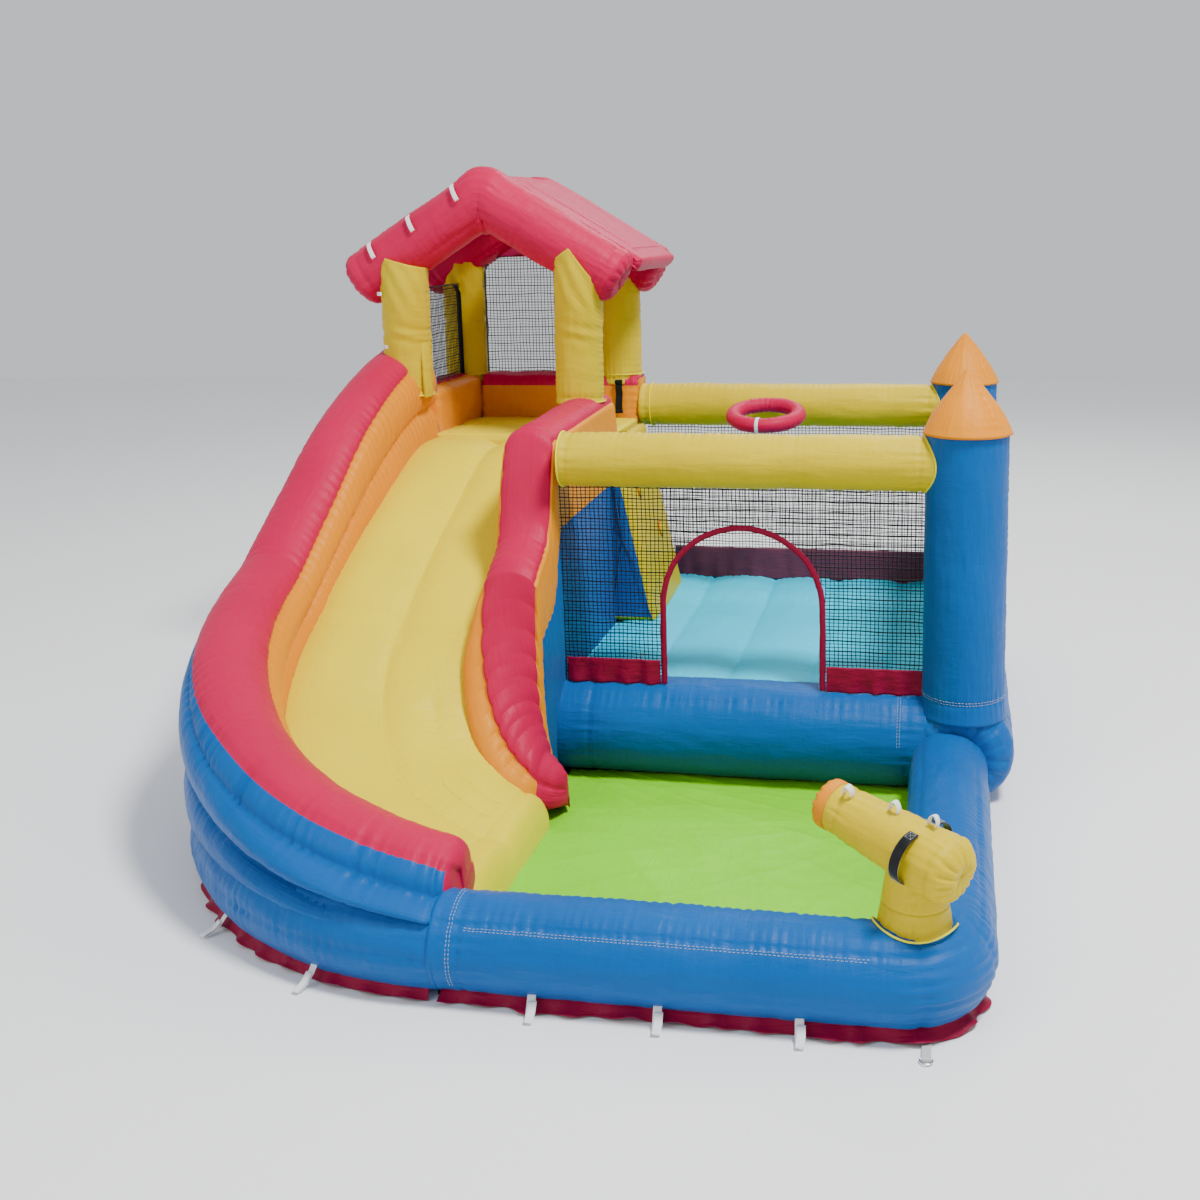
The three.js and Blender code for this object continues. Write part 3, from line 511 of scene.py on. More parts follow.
def stitches(name, lines, material, long=0.006, gap=0.004, wide=0.0016, lift=0.0012, onto=None):
    """Rows of thread dashes: lines are pairs of points and outward directions along each seam.
    onto is a piece that the dashes are laid on."""
    if onto is not None:
        surface = surface_of(onto)
        snapped = []
        for points, outward in lines:
            hits = [surface.find_nearest(Vector(p)) for p in even(points, 0.004)[0]]
            snapped.append((np.array([h[0][:] for h in hits]), np.array([h[1][:] for h in hits])))
        lines = snapped
    corners, faces = [], []
    for points, outward in lines:
        path, s = even(points, 0.001)
        outward = np.broadcast_to(np.asarray(outward, float), np.shape(points))
        src = np.linspace(0, 1, len(points))
        out = unit(np.stack([np.interp(np.linspace(0, 1, len(path)), src, outward[:, k]) for k in range(3)],
                            -1))
        for start in np.arange(0, s[-1] - long, long + gap):
            i, j = np.searchsorted(s, [start, start + long])
            a, b, n = path[i], path[min(j, len(path) - 1)], out[i]
            side = unit(np.cross(b - a, n)) * wide / 2
            top = n * lift
            first = len(corners)
            corners += [a - side, a + side, b + side, b - side, a - side * 0.5 + top, a + side * 0.5 + top,
                        b + side * 0.5 + top, b - side * 0.5 + top]
            faces += [[first + k for k in f] for f in
                      ((0, 3, 2, 1), (4, 5, 6, 7), (0, 1, 5, 4), (1, 2, 6, 5), (2, 3, 7, 6), (3, 0, 4, 7))]
    mesh = bpy.data.meshes.new(name)
    mesh.from_pydata([tuple(p) for p in corners], [], faces)
    mesh.uv_layers.new(name="cloth")
    mesh.materials.append(material)
    piece = bpy.data.objects.new(name, mesh)
    bpy.context.collection.objects.link(piece)
    return settle(piece, "white_webbing")


WEBBING_THICK = 0.002


def hose_loop(name, at, out, along, size=0.045, wide=0.018, tall=0.42, seed=0):
    """A short webbing loop that stands off a tube at a point: out is outward, along is the strap's run."""
    at, out, along = place(at), unit(np.asarray(out, float)), unit(np.asarray(along, float))
    a = np.linspace(-0.15, 1.15, 22) * np.pi
    lift = 0.004 + np.sin(a).clip(-0.1) * size * tall
    path = at + along * (np.cos(a) * size)[:, None] + out * lift[:, None]
    return settle(strip(name, path, wide, WEBBING_THICK, np.cross(out, along), WHITE, wave=0.003, seed=seed),
                  "white_webbing")


# ---------- slide lanes ----------
BEND = np.array([-1.475, -0.270])
STRETCH = 1.08
SLIDE_START = 1.000
LANES = {"inner_face": (-1.535, 0.060), "bed_inner": (-1.742, 0.270), "bed_outer": (-2.400, 0.990),
         "outer_face": (-2.620, 1.250), "foot_tube": (-2.560, 1.130)}


def lane(name, t):
    """Points of a lane: t runs 0..1 down the straight, 1..2 round the turn, and past 2 over the pool."""
    x0, r = LANES[name]
    t = np.asarray(t, float)
    run = np.clip(t, 0, 1)
    a = np.pi * (1 + np.clip(t - 1, 0, 1) / 2)
    straight = np.stack([mix(x0, BEND[0] - r, ease(run)), SLIDE_START - (SLIDE_START - BEND[1]) * run], -1)
    turn = np.stack([BEND[0] + r * np.cos(a) + np.clip(t - 2, 0, 1), BEND[1] + r * STRETCH * np.sin(a)], -1)
    return np.where((t <= 1)[:, None], straight, turn)


def curve(knots):
    """A smooth height along t through the knots."""
    t, z = np.array(knots, float).T
    slope = np.gradient(z, t)

    def at(x):
        x = np.clip(x, t[0], t[-1])
        i = np.clip(np.searchsorted(t, x, side="right") - 1, 0, len(t) - 2)
        wide = t[i + 1] - t[i]
        f = (x - t[i]) / wide
        return ((2 * f**3 - 3 * f**2 + 1) * z[i] + (f**3 - 2 * f**2 + f) * wide * slope[i]
                + (3 * f**2 - 2 * f**3) * z[i + 1] + (f**3 - f**2) * wide * slope[i + 1])
    return at


bed_top = curve([(0, 1.190), (0.16, 1.185), (0.5, 1.000), (0.8, 0.790), (1, 0.630), (1.25, 0.440),
                 (1.5, 0.315),
                 (1.75, 0.235), (2, 0.165), (2.1, 0.150)])
outer_top = curve([(0, 1.610), (0.15, 1.570), (0.5, 1.370), (0.8, 1.080), (1, 0.905), (1.25, 0.750),
                   (1.5, 0.600),
                   (1.75, 0.480), (1.95, 0.400), (2.06, 0.360)])
inner_top = curve([(0, 1.385), (0.5, 1.365), (0.70, 1.352), (0.76, 1.335), (0.80, 1.215), (0.83, 1.070),
                   (0.86, 0.990),
                   (0.90, 0.948), (0.95, 0.912), (1, 0.868), (1.25, 0.650),
                   (1.5, 0.480), (1.75, 0.350), (2, 0.250), (2.08, 0.200)])


def channel(f, count):
    """0 at each seam and 1 between seams, for f from 0 to 1."""
    return np.abs(np.sin(np.pi * f * count)) ** 0.6


def wall(name, near, far, top, last, near_foot, far_foot, near_channels, far_channels, materials, nose, seed,
         near_puff=lambda t: 0.018, far_puff=lambda t: 0.024, strip=0.0, far_seam=lambda t: 0.68,
         cap_drop=0.75, rows=300):
    """A slide wall: its near side faces the bed, and its top is a rounded band. materials: near, top, far.
    strip is the part of the far side, next to the top, that has the near side's color. The top band ends
    part of the way down the rounded edge, at far_seam."""
    t = np.linspace(0, last, rows)
    p, q = lane(near, t), lane(far, t)
    across = unit(q - p)
    width = np.linalg.norm(q - p, axis=1)
    shrink = np.sqrt(np.clip(1 - ((t - (last - nose)) / nose).clip(0) ** 2, 0.02, 1))
    middle = (p + q) / 2
    high, low_near, low_far = top(t), near_foot(t), far_foot(t)
    centre_z = (high + np.minimum(low_near, low_far)) / 2
    cap = width / 2 * cap_drop
    n_side, n_top, n_foot = 34, 30, 6
    n_band = 22
    side = np.linspace(0, 1, n_side)
    rows_list = []
    for i in range(rows):
        half, crown = width[i] / 2, high[i] - cap[i]
        near_z = mix(low_near[i], crown, side)
        near_u = -half - near_puff(t[i]) * channel(side, near_channels)
        seam = np.pi * (1 - far_seam(t[i]))
        a = np.concatenate([np.linspace(np.pi, seam, n_band + 1)[1:],
                            np.linspace(seam, 0, n_top - n_band + 2)[1:-1]])
        far_z = mix(crown, low_far[i], side)
        far_u = half + far_puff(t[i]) * channel(side, far_channels)
        foot = np.linspace(0, 1, n_foot + 2)[1:-1]
        u = np.concatenate([near_u, half * np.cos(a), far_u, mix(half, -half, foot)])
        z = np.concatenate([near_z, crown + cap[i] * np.sin(a), far_z, mix(low_far[i], low_near[i], foot)])
        u, z = u * shrink[i], centre_z[i] + (z - centre_z[i]) * mix(1, shrink[i], 0.35)
        rows_list.append(np.stack([middle[i, 0] + across[i, 0] * u, middle[i, 1] + across[i, 1] * u, z], -1))
    grid = place(np.array(rows_list))
    along = np.concatenate([[0], np.cumsum(np.linalg.norm(np.diff(middle, axis=0), axis=1))])[:, None]
    ring = np.linalg.norm(np.diff(grid[rows // 2], axis=0), axis=1)
    w = np.concatenate([[0], np.cumsum(ring)])[None, :]
    bulge = 0.0024 * crumple(along / 0.05, w / 0.13, seed) + 0.0016 * crumple(along / 0.15, w / 0.05,
                                                                              seed + 4)
    top_end = n_side + n_band
    edges = [n_side, top_end] + [int(n_side * k / near_channels) for k in range(1, near_channels)] + [
        n_side + n_top + int(n_side * k / far_channels) for k in range(1, far_channels + 1)]
    strip_end = (n_side + n_top + int(round(n_side * strip))) if strip else top_end
    if strip:
        edges.append(strip_end)
    for k, column in enumerate(edges):
        away = np.abs(w - w[0, min(column, w.shape[1] - 1)])
        bulge = bulge + gather(away, along, pitch=0.034, reach=0.06, depth=0.014,
                               seed=seed + k) + groove(away, 0.008, 0.005)
    bands = np.zeros((rows - 1, grid.shape[1]), int)
    bands[:, n_side:top_end] = 1
    bands[:, top_end:] = 2
    bands[:, top_end:strip_end] = 0
    bands[t[:-1] > last - nose * 0.55, :] = 1
    bands[0, :] = 2
    w_full = np.append(w[0], w[0, -1] + 0.1)
    uv = np.stack(np.meshgrid(along[:, 0], w_full, indexing="ij"), -1)
    return build(name, grid, materials, uv=uv, bands=bands, bulge=bulge)


outer_wall = wall(
    "slide_outer_wall_skin", "bed_outer", "outer_face", outer_top, 2.065, lambda t: bed_top(t) - 0.10,
    lambda t: np.full(len(t), 0.165), 2, 2, [ORANGE, RED, BLUE], 0.045, 11,
    near_puff=lambda t: 0.034, far_puff=lambda t: 0.040 + 0.045 * float(ease((t - 1.5) / 0.4)),
    far_seam=lambda t: 0.96 - 0.24 * float(ease((t - 1.15) / 0.45)))
settle(outer_wall, "red_fabric", "slide_outer_wall", fill=1.0)
inner_wall = wall(
    "slide_inner_wall_skin", "bed_inner", "inner_face", inner_top, 2.08,
    lambda t: np.maximum(bed_top(t) - 0.10, GROUND), lambda t: np.full(len(t), GROUND + 0.001), 1, 1,
    [ORANGE, RED, BLUE], 0.16, 31,
    near_puff=lambda t: 0.016 + 0.050 * float(ease((t - 0.85) / 0.35) * ease((2.08 - t) / 0.3)),
    far_puff=lambda t: 0.02, strip=0.24, far_seam=lambda t: 0.86)
settle(inner_wall, "red_fabric", "slide_inner_wall", fill=1.0)

# the bed: long pads with seams between them, and a rounded lip over the pool
BED_LAST, BED_LIP = 2.045, 1.99
BED_THICK, MOST_SAG = 0.07, 0.052
BED_ROWS, BED_COLS, UNDER_STEP = 330, 76, 15
# each seam: its share of the width, where it starts and ends down the lane, and its depth
BED_SEAMS = ((0.5, -1, 3, 0.054), (0.24, 1.18, 1.93, 0.026), (0.36, 1.62, 1.93, 0.016),
             (0.72, 1.86, 1.96, 0.014))
# each fold across the bed: where it is down the lane, and the share of the width that it runs between
BED_FOLDS = ((0.92, 0.5, 1.0), (0.99, 0.12, 0.5), (1.93, 0.0, 1.0))


def bed():
    """The slide's bed, and the points of its upper side."""
    rows, cols = BED_ROWS, BED_COLS
    t = np.linspace(0, BED_LAST, rows)
    p, q = lane("bed_inner", t), lane("bed_outer", t)
    f = np.linspace(0, 1, cols)
    top = bed_top(t)[:, None]
    lip = ((t - BED_LIP) / (BED_LAST - BED_LIP)).clip(0, 1)[:, None]
    along = np.concatenate([[0], np.cumsum(np.linalg.norm(np.diff((p + q) / 2, axis=0), axis=1))])[:, None]
    width = np.linalg.norm(q - p, axis=1)[:, None]
    w = f[None, :] * width
    sag = np.zeros((rows, cols))
    for k, (where, start, end, deep) in enumerate(BED_SEAMS):
        on = ease((t[:, None] - start) / 0.12) * ease((end - t[:, None]) / 0.06)
        on = on * (1 - 0.45 * ease((t[:, None] - 1.4) / 0.3))
        away = np.abs(f[None, :] - where) * width
        sag -= on * (deep * np.exp(-away / 0.085) + groove(away, 0.006, -0.003))
        sag += on * gather(away, along, pitch=0.045, reach=0.09, depth=0.006, seed=60 + k)
    edge = np.minimum(w, width - w)
    sag -= 0.035 * np.exp(-edge / 0.05)
    sag += gather(edge, along, pitch=0.04, reach=0.07, depth=0.006, seed=71)
    for at, start, end in BED_FOLDS:
        fold = np.abs(t[:, None] - at) * 1.5
        on = ease((f[None, :] - start) / 0.05) * ease((end - f[None, :]) / 0.05)
        sag -= on * (0.006 * np.exp(-fold / 0.02) + 0.008 * np.exp(-fold / 0.08))
    z = top + sag + 0.003 * crumple(along / 0.09, w / 0.16, 77)
    floor_z = GROUND + 0.012
    z = np.maximum(z, top - MOST_SAG)
    z = floor_z + (z - floor_z) * np.sqrt(np.clip(1 - lip**2, 0.0005, 1))
    flat = p[:, None] + f[None, :, None] * (q - p)[:, None]
    upper = np.concatenate([flat, z[..., None]], -1)
    under = np.maximum(z[:, ::-1][:, ::UNDER_STEP] - BED_THICK, floor_z - 0.004)
    lower = np.concatenate([flat[:, ::-1][:, ::UNDER_STEP], under[..., None]], -1)
    grid = place(np.concatenate([upper, lower], 1))
    cross = np.concatenate([w, w[:, ::-1][:, ::UNDER_STEP] * 0 + width, width * 1.1], 1)
    uv = np.stack([np.broadcast_to(along, cross.shape), cross], -1)
    return build("slide_bed_skin", grid, [BED], uv=uv), upper


bed_piece, bed_points = bed()
settle(bed_piece, "bed_fabric", "slide_bed", fill=0.9)
for k, (where, start, end) in enumerate(((0.5, 0, 322), (0.24, 195, 310), (0.36, 266, 310))):
    column = int(round(where * (BED_COLS - 1)))
    line = place(bed_points[start:end:3, column] + [0, 0, 0.0015])
    settle(cord_ring(f"bed_seam_{k}", line, 0.0016, PIPING, closed=False), "bed_fabric")

t_foot = np.linspace(0, 2.05, 60)
FOOT_R, FOOT_MIDDLE, FOOT_SWING = 0.134, 0.1355, 0.1016


def foot_line_at(t, out=0.0):
    """The foot tube's line on the ground: near the pool it swings out to meet the pool tube."""
    points = np.column_stack([lane("foot_tube", t), np.zeros(len(t))])
    tangent = unit(np.gradient(points, axis=0))
    swing = FOOT_SWING * ease((t - 1.15) / 0.85) + out
    return points + np.cross(tangent, UP) * np.broadcast_to(swing, t.shape)[:, None]


foot_path = foot_line_at(t_foot) + [0, 0, GROUND + FOOT_MIDDLE]
settle(tube("slide_base_skin", foot_path, lambda f: mix(FOOT_R, POOL_R, ease((f - 0.5) / 0.5)), [BLUE],
            step=0.011, seams=(0.62, 0.74), bands=(-0.012,), seed=41, crease=0.0034),
       "blue_fabric", "slide_base_tube", fill=1.0)

# ---------- bounce room: base tubes, columns, cones and beams ----------
BASE_Z = GROUND + BASE_R
base_specs = {
    "front": ([(-1.56, 0.048, BASE_Z), (-0.10, 0.048, BASE_Z)], ("flat", "flat")),
    "back": ([(-1.549, ROOM_BACK, BASE_Z), (-0.15, ROOM_BACK, BASE_Z)], ("flat", "flat")),
    "right": ([(0, -0.065, BASE_Z), (0, ROOM_BACK + 0.113, BASE_Z)], ("star", "star")),
}
for side, (path, ends) in base_specs.items():
    settle(tube(f"base_{side}_skin", path, BASE_R - 0.001, [BLUE], step=0.011, ends=ends,
                seams=(0.39, 0.61), bands=(0.16, -0.10), seed=50 + len(side), crease=0.0032),
           "blue_fabric", f"base_tube_{side}", fill=1.0)


def waisted(points_r, foot, length):
    """A radius that flares near the foot, in metres from the start of a tube of that length."""
    return lambda f: points_r * (1 + foot * np.exp(-f * length / 0.05))


COLUMN_FOOT, COLUMN_FLARE = 0.31, 0.07


def cone_r(f):
    """A cone with slightly bellied sides and a blunt tip."""
    return (COLUMN_R + 0.004) * (1 - f) ** 0.93 * (1 + 0.10 * math.sin(math.pi * f)) + 0.006


for side, y in (("front", 0.0), ("back", ROOM_BACK)):
    path = [(0, y, COLUMN_FOOT), (0, y, COLUMN_TOP)]
    column_r = waisted(COLUMN_R - 0.001, COLUMN_FLARE, COLUMN_TOP - COLUMN_FOOT)
    settle(tube(f"column_{side}_skin", path, column_r, [BLUE], step=0.009, up=(0, 1, 0),
                seams=(0.3, 0.62), bands=(0.075, -0.003), seed=80 + len(side)),
           "blue_fabric", f"column_{side}", fill=1.0)
    settle(tube(f"cone_{side}_skin", [(0, y, COLUMN_TOP + 0.001), (0, y, CONE_TOP)], cone_r, [ORANGE],
                step=0.008, up=(0, 1, 0), seams=(0.12, 0.62), bands=(0.0,), depth=0.007, seed=90 + len(side)),
           "orange_fabric", f"cone_{side}", fill=1.0)
    edge = np.linspace(0, 2 * np.pi, 60, endpoint=False)
    ring = place(np.column_stack([np.cos(edge), np.sin(edge), edge * 0]) * [COLUMN_R, COLUMN_R, 0]
                 + [0, y, COLUMN_TOP])
    settle(cord_ring(f"cone_piping_{side}", ring, 0.003, ORANGE), "orange_fabric")
beam_paths = {
    "front": [(-1.50, 0, BEAM_Z), (-0.11, 0, BEAM_Z)],
    "back": [(-1.552, ROOM_BACK, BEAM_Z), (-0.11, ROOM_BACK, BEAM_Z)],
    "right": [(0, 0.11, BEAM_Z), (0, ROOM_BACK - 0.11, BEAM_Z)],
}
for side, path in beam_paths.items():
    settle(tube(f"beam_{side}_skin", path, lambda f: BEAM_R - 0.001 + 0.001 * math.sin(9 * f), [YELLOW],
                step=0.008, seams=(0.0, 0.5), bands=(0.03, -0.055), seed=100 + len(side), crease=0.0028),
           "yellow_fabric", f"beam_{side}", fill=1.0)


def collar(name, y):
    """Piping where a beam along x meets a round column: the curve where the two tubes cross."""
    a = np.linspace(0, 2 * np.pi, 70, endpoint=False)
    dy, dz = (BEAM_R + 0.001) * np.sin(a), (BEAM_R + 0.001) * np.cos(a)
    x = -np.sqrt(np.maximum((COLUMN_R + 0.001) ** 2 - dy**2, 0))
    settle(cord_ring(name, place(np.column_stack([x, y + dy, BEAM_Z + dz])), 0.0032, PIPING), "yellow_fabric")


collar("beam_piping_front", 0.0)
collar("beam_piping_back", ROOM_BACK)


# ---------- blocks: an outline pushed along an axis, with crowned ends ----------
def pad(name, outline, frame_axes, length, materials, picks=None, ends_pick=(0, 0), rounding=0.035,
        cap=0.03, crown=0.015,
        channels=None, puff=0.02, seed=0, step=0.010, crease=0.0026, depth=0.006):
    """A sewn air pad. outline is an anticlockwise polygon in (u, v); frame_axes are its origin, u, v and w.
    channels gives the count of long channels on each edge, and picks each edge's material."""
    origin, u_axis, v_axis, w_axis = (np.asarray(v, float) for v in frame_axes)
    count = len(outline)
    channels = channels or [0] * count
    picks = picks or [0] * count
    points, swell, edge_of, seam_at = [], [], [], []
    for i in range(count):
        a, b, c = (np.array(outline[(i + k) % count], float) for k in range(3))
        run, after = unit(b - a), unit(c - b)
        start, stop = a + run * rounding, b - run * rounding
        n = max(4, int(np.linalg.norm(stop - start) / step))
        f = np.linspace(0, 1, n)
        first = len(points)
        points += [mix(start, stop, x) for x in f]
        swell += list(puff * channel(f, channels[i]) if channels[i] else 0.35 * puff * np.sin(np.pi * f))
        edge_of += [picks[i]] * n
        seam_at += [first + int((n - 1) * k / channels[i])
                    for k in range(1, channels[i])] if channels[i] else []
        corner = [(1 - x) ** 2 * stop + 2 * x * (1 - x) * b + x * x * (b + after * rounding)
                  for x in np.linspace(0, 1, 8)[1:-1]]
        points += corner
        swell += [0.0] * len(corner)
        edge_of += [picks[i]] * len(corner)
        if picks[i] != picks[(i + 1) % count]:
            seam_at.append(len(points) - len(corner) // 2)
    points, swell = np.array(points), np.array(swell)
    tangent = unit(np.roll(points, -1, 0) - np.roll(points, 1, 0))
    out = np.stack([tangent[:, 1], -tangent[:, 0]], -1)
    a = np.linspace(0, np.pi / 2, 6)[:-1]
    body = np.linspace(cap, length - cap, max(4, int(length / step)))
    s = np.concatenate([cap * (1 - np.cos(a)), body, length - cap * (1 - np.cos(a[::-1]))])
    inset = np.concatenate([cap * (1 - np.sin(a)), np.zeros(len(body)), cap * (1 - np.sin(a[::-1]))])
    ends = ease(np.minimum(s, length - s) / 0.10)
    ring = [points - out * inset[i] + out * (swell * ends[i])[:, None] for i in range(len(s))]
    face = np.linspace(0.04, 0.97, 12)
    middle = points.mean(0)
    first = [middle + (ring[0] - middle) * k for k in face]
    last = [middle + (ring[-1] - middle) * k for k in face[::-1]]
    depth_s = np.concatenate([-crown * (1 - face**2), s, length + crown * (1 - face[::-1] ** 2)])
    flat = np.array(first + ring + last)
    grid = place(origin + flat[..., :1] * u_axis + flat[..., 1:] * v_axis + depth_s[:, None, None] * w_axis)
    w = np.concatenate([[0], np.cumsum(np.linalg.norm(np.diff(points, axis=0), axis=1))])
    full = w[-1] + np.linalg.norm(points[0] - points[-1])
    along, w = depth_s[:, None], w[None, :]
    bulge = crease * crumple(along / 0.06, w / 0.16, seed) + 0.7 * crease * crumple(along / 0.16, w / 0.06,
                                                                                    seed + 5)
    for k, column in enumerate(seam_at):
        away = np.abs((w - w[0, column % w.shape[1]] + full / 2) % full - full / 2)
        bulge = bulge + gather(away, along, depth=depth, seed=seed + k) + groove(away, 0.006, 0.003)
    for k, at in enumerate((cap * 0.4, length - cap * 0.4)):
        away = np.abs(along - at)
        bulge = bulge + gather(away, w, reach=0.045, depth=depth, seed=seed + 9 + k)
        bulge = bulge + groove(away, 0.006, 0.003)
    bands = np.broadcast_to(np.array(edge_of)[None, :], (len(depth_s) - 1, len(edge_of))).copy()
    bands[:len(face)] = ends_pick[0]
    bands[-len(face):] = ends_pick[1]
    uv = np.stack(np.meshgrid(depth_s, np.append(w[0], full), indexing="ij"), -1)
    return build(name, grid, materials, uv=uv, bands=bands, bulge=bulge)


X_AXIS, Y_AXIS = np.array([1.0, 0, 0]), np.array([0, 1.0, 0])


def box_outline(low, high):
    return [(low[0], low[1]), (high[0], low[1]), (high[0], high[1]), (low[0], high[1])]


# ---------- tower: base, platform and low walls ----------
TOWER_LEFT, TOWER_RIGHT, TOWER_FRONT, TOWER_BACK = -2.560, -1.553, 1.000, 1.750
PLATFORM_TOP, PLATFORM_UNDER, LOW_WALL_TOP = 1.190, 1.135, 1.400
LOW_WALL_X, LOW_WALL_Y = -2.355, 1.545

settle(pad("tower_base_skin", box_outline((TOWER_LEFT, TOWER_FRONT + 0.004), (TOWER_RIGHT, TOWER_BACK)),
           ([0, 0, 0], X_AXIS, Y_AXIS, UP * 1.0), PLATFORM_UNDER, [BLUE], channels=[0, 0, 4, 3], puff=0.020,
           crown=0.0, cap=0.02, seed=121), "blue_fabric", "tower_base", fill=1.0)
settle(pad("tower_platform_skin", box_outline((TOWER_FRONT - 0.03, PLATFORM_UNDER),
                                              (LOW_WALL_Y, PLATFORM_TOP)),
           ([LOW_WALL_X - 0.03, 0, 0], Y_AXIS, UP, X_AXIS), TOWER_RIGHT - LOW_WALL_X + 0.03, [BED],
           rounding=0.018, cap=0.012, crown=0.0, channels=[0, 0, 2, 0], puff=0.008, seed=127),
       "bed_fabric", "tower_platform", fill=0.9)


def low_wall(side, outline, axes, length, picks, ends_pick, seed):
    """One of the platform's low walls: blue outside, orange inside, with a red top."""
    piece = pad(f"platform_wall_{side}_skin", outline, axes, length, [BLUE, ORANGE, RED], picks=picks,
                ends_pick=ends_pick, rounding=0.055, cap=0.025, crown=0.004, puff=0.02, seed=seed,
                depth=0.013, crease=0.006)
    settle(piece, "orange_fabric", f"platform_wall_{side}", fill=1.0)


low_wall("left", box_outline((TOWER_LEFT, PLATFORM_UNDER), (LOW_WALL_X, LOW_WALL_TOP)),
         ([0, TOWER_FRONT - 0.012, 0], X_AXIS, UP, Y_AXIS), TOWER_BACK - TOWER_FRONT,
         picks=[0, 1, 2, 0], ends_pick=(1, 0), seed=131)
low_wall("back", box_outline((LOW_WALL_Y, PLATFORM_UNDER), (TOWER_BACK, LOW_WALL_TOP)),
         ([LOW_WALL_X, 0, 0], Y_AXIS, UP, X_AXIS), TOWER_RIGHT - LOW_WALL_X,
         picks=[0, 0, 2, 1], ends_pick=(1, 1), seed=137)

# ---------- tower: posts with peaked tops ----------
POST_X, POST_FRONT, POST_BACK = (-2.438, -1.650), 0.870, 1.646
ROOF_X, ROOF_HALF, EAVE_Z, RIDGE_Z = -2.050, 0.560, 1.900, 2.240
ROOF_FRONT, ROOF_REAR = 0.850, 1.655
SLOPE = (RIDGE_Z - EAVE_Z) / ROOF_HALF
POST_SHIFT = 0.008


def post(name, x, y, foot, apex_x, apex_z, left_fall, right_fall, lean, seed):
    """A post whose cloth rises to a peak in front of the roof tube."""
    def shaped(body, bulge, s, turn):
        f = (s / s[-1])[:, None]
        px = body[..., 0] - ORIGIN[0]
        fall = np.where(px < apex_x, (apex_x - px) * left_fall, (px - apex_x) * right_fall)
        limit = apex_z - fall
        body[..., 2] = foot + (limit - foot) * f
        forward_by = lean * ease((body[..., 2] - 1.54) / 0.42)
        body[..., 1] -= forward_by
        body[..., 0] += 0.4 * forward_by
        top = ease((body[..., 2] - 1.72) / 0.10) * ease((1 - f) / 0.06)
        fold = top * 0.003 * (np.sin(9 * turn + 40 * body[..., 2]) - 0.3)
        ripple = 0.0026 * np.sin(body[..., 2] / 0.0105 + 3 * np.sin(turn)) * np.exp(
            -((body[..., 2] - 1.66) / 0.045) ** 2) * (0.4 + noise(turn * 2, 2, seed))
        return body, bulge + fold + ripple
    x = x - POST_SHIFT
    piece = tube(name, [(x, y, foot), (x, y, apex_z)], POST_R + 0.003, [YELLOW], step=0.008, up=Y_AXIS,
                 seams=(0.25, 0.75), bands=(0.030,), seed=seed, shape=shaped, crease=0.003)
    settle(piece, "yellow_fabric", name.replace("_skin", ""), fill=1.0)


post("tower_post_front_left_skin", POST_X[0], POST_FRONT, 1.378, POST_X[0] - 0.055, 1.990, 1.5, 0.30, 0.064,
     141)
post("tower_post_front_right_skin", POST_X[1], POST_FRONT, 1.350, POST_X[1] - 0.020, 2.020, 0.60, 1.45,
     0.064, 145)
post("tower_post_back_left_skin", POST_X[0], POST_BACK, 1.350, POST_X[0], 1.985, 0.3, 0.0, 0.0, 149)
post("tower_post_back_right_skin", POST_X[1], POST_BACK, 1.350, POST_X[1], 1.985, 0.0, 0.3, 0.0, 153)

# ---------- roof ----------
def gable_path(y, drop=0.0):
    bend = 0.030
    left = np.array([ROOF_X - ROOF_HALF, y, EAVE_Z - drop])
    right = left + [2 * ROOF_HALF, 0, 0]
    ridge = np.array([ROOF_X, y, RIDGE_Z - drop])
    start, stop = ridge - [bend, 0, bend * SLOPE], ridge + [bend, 0, -bend * SLOPE]
    curve_points = [(1 - f) ** 2 * start + 2 * f * (1 - f) * ridge + f * f * stop
                    for f in np.linspace(0, 1, 9)]
    return [left, *curve_points, right]


ROOF_LONG = 2 * math.hypot(ROOF_HALF, RIDGE_Z - EAVE_Z)


def gable_radius(f):
    return (ROOF_R - 0.001) * (1 + 0.01 * math.sin(11 * f))


MITRE = 1 / math.cos(math.atan(SLOPE)) - 1


def mitred(body, bulge, s, turn):
    """Stretches the rings at the ridge, so that both slopes run straight up to the seam."""
    middle = body.mean(axis=1, keepdims=True)
    off = np.abs(middle[:, :, 0] - ORIGIN[0] - ROOF_X)
    front = 1.0 if middle[0, 0, 1] - ORIGIN[1] < ROOF_FRONT + 0.1 else 0.0
    grow = 1 + front * MITRE * np.exp(-((off / 0.045) ** 2))
    body[..., 2] = middle[..., 2] + (body[..., 2] - middle[..., 2]) * grow
    return body, bulge


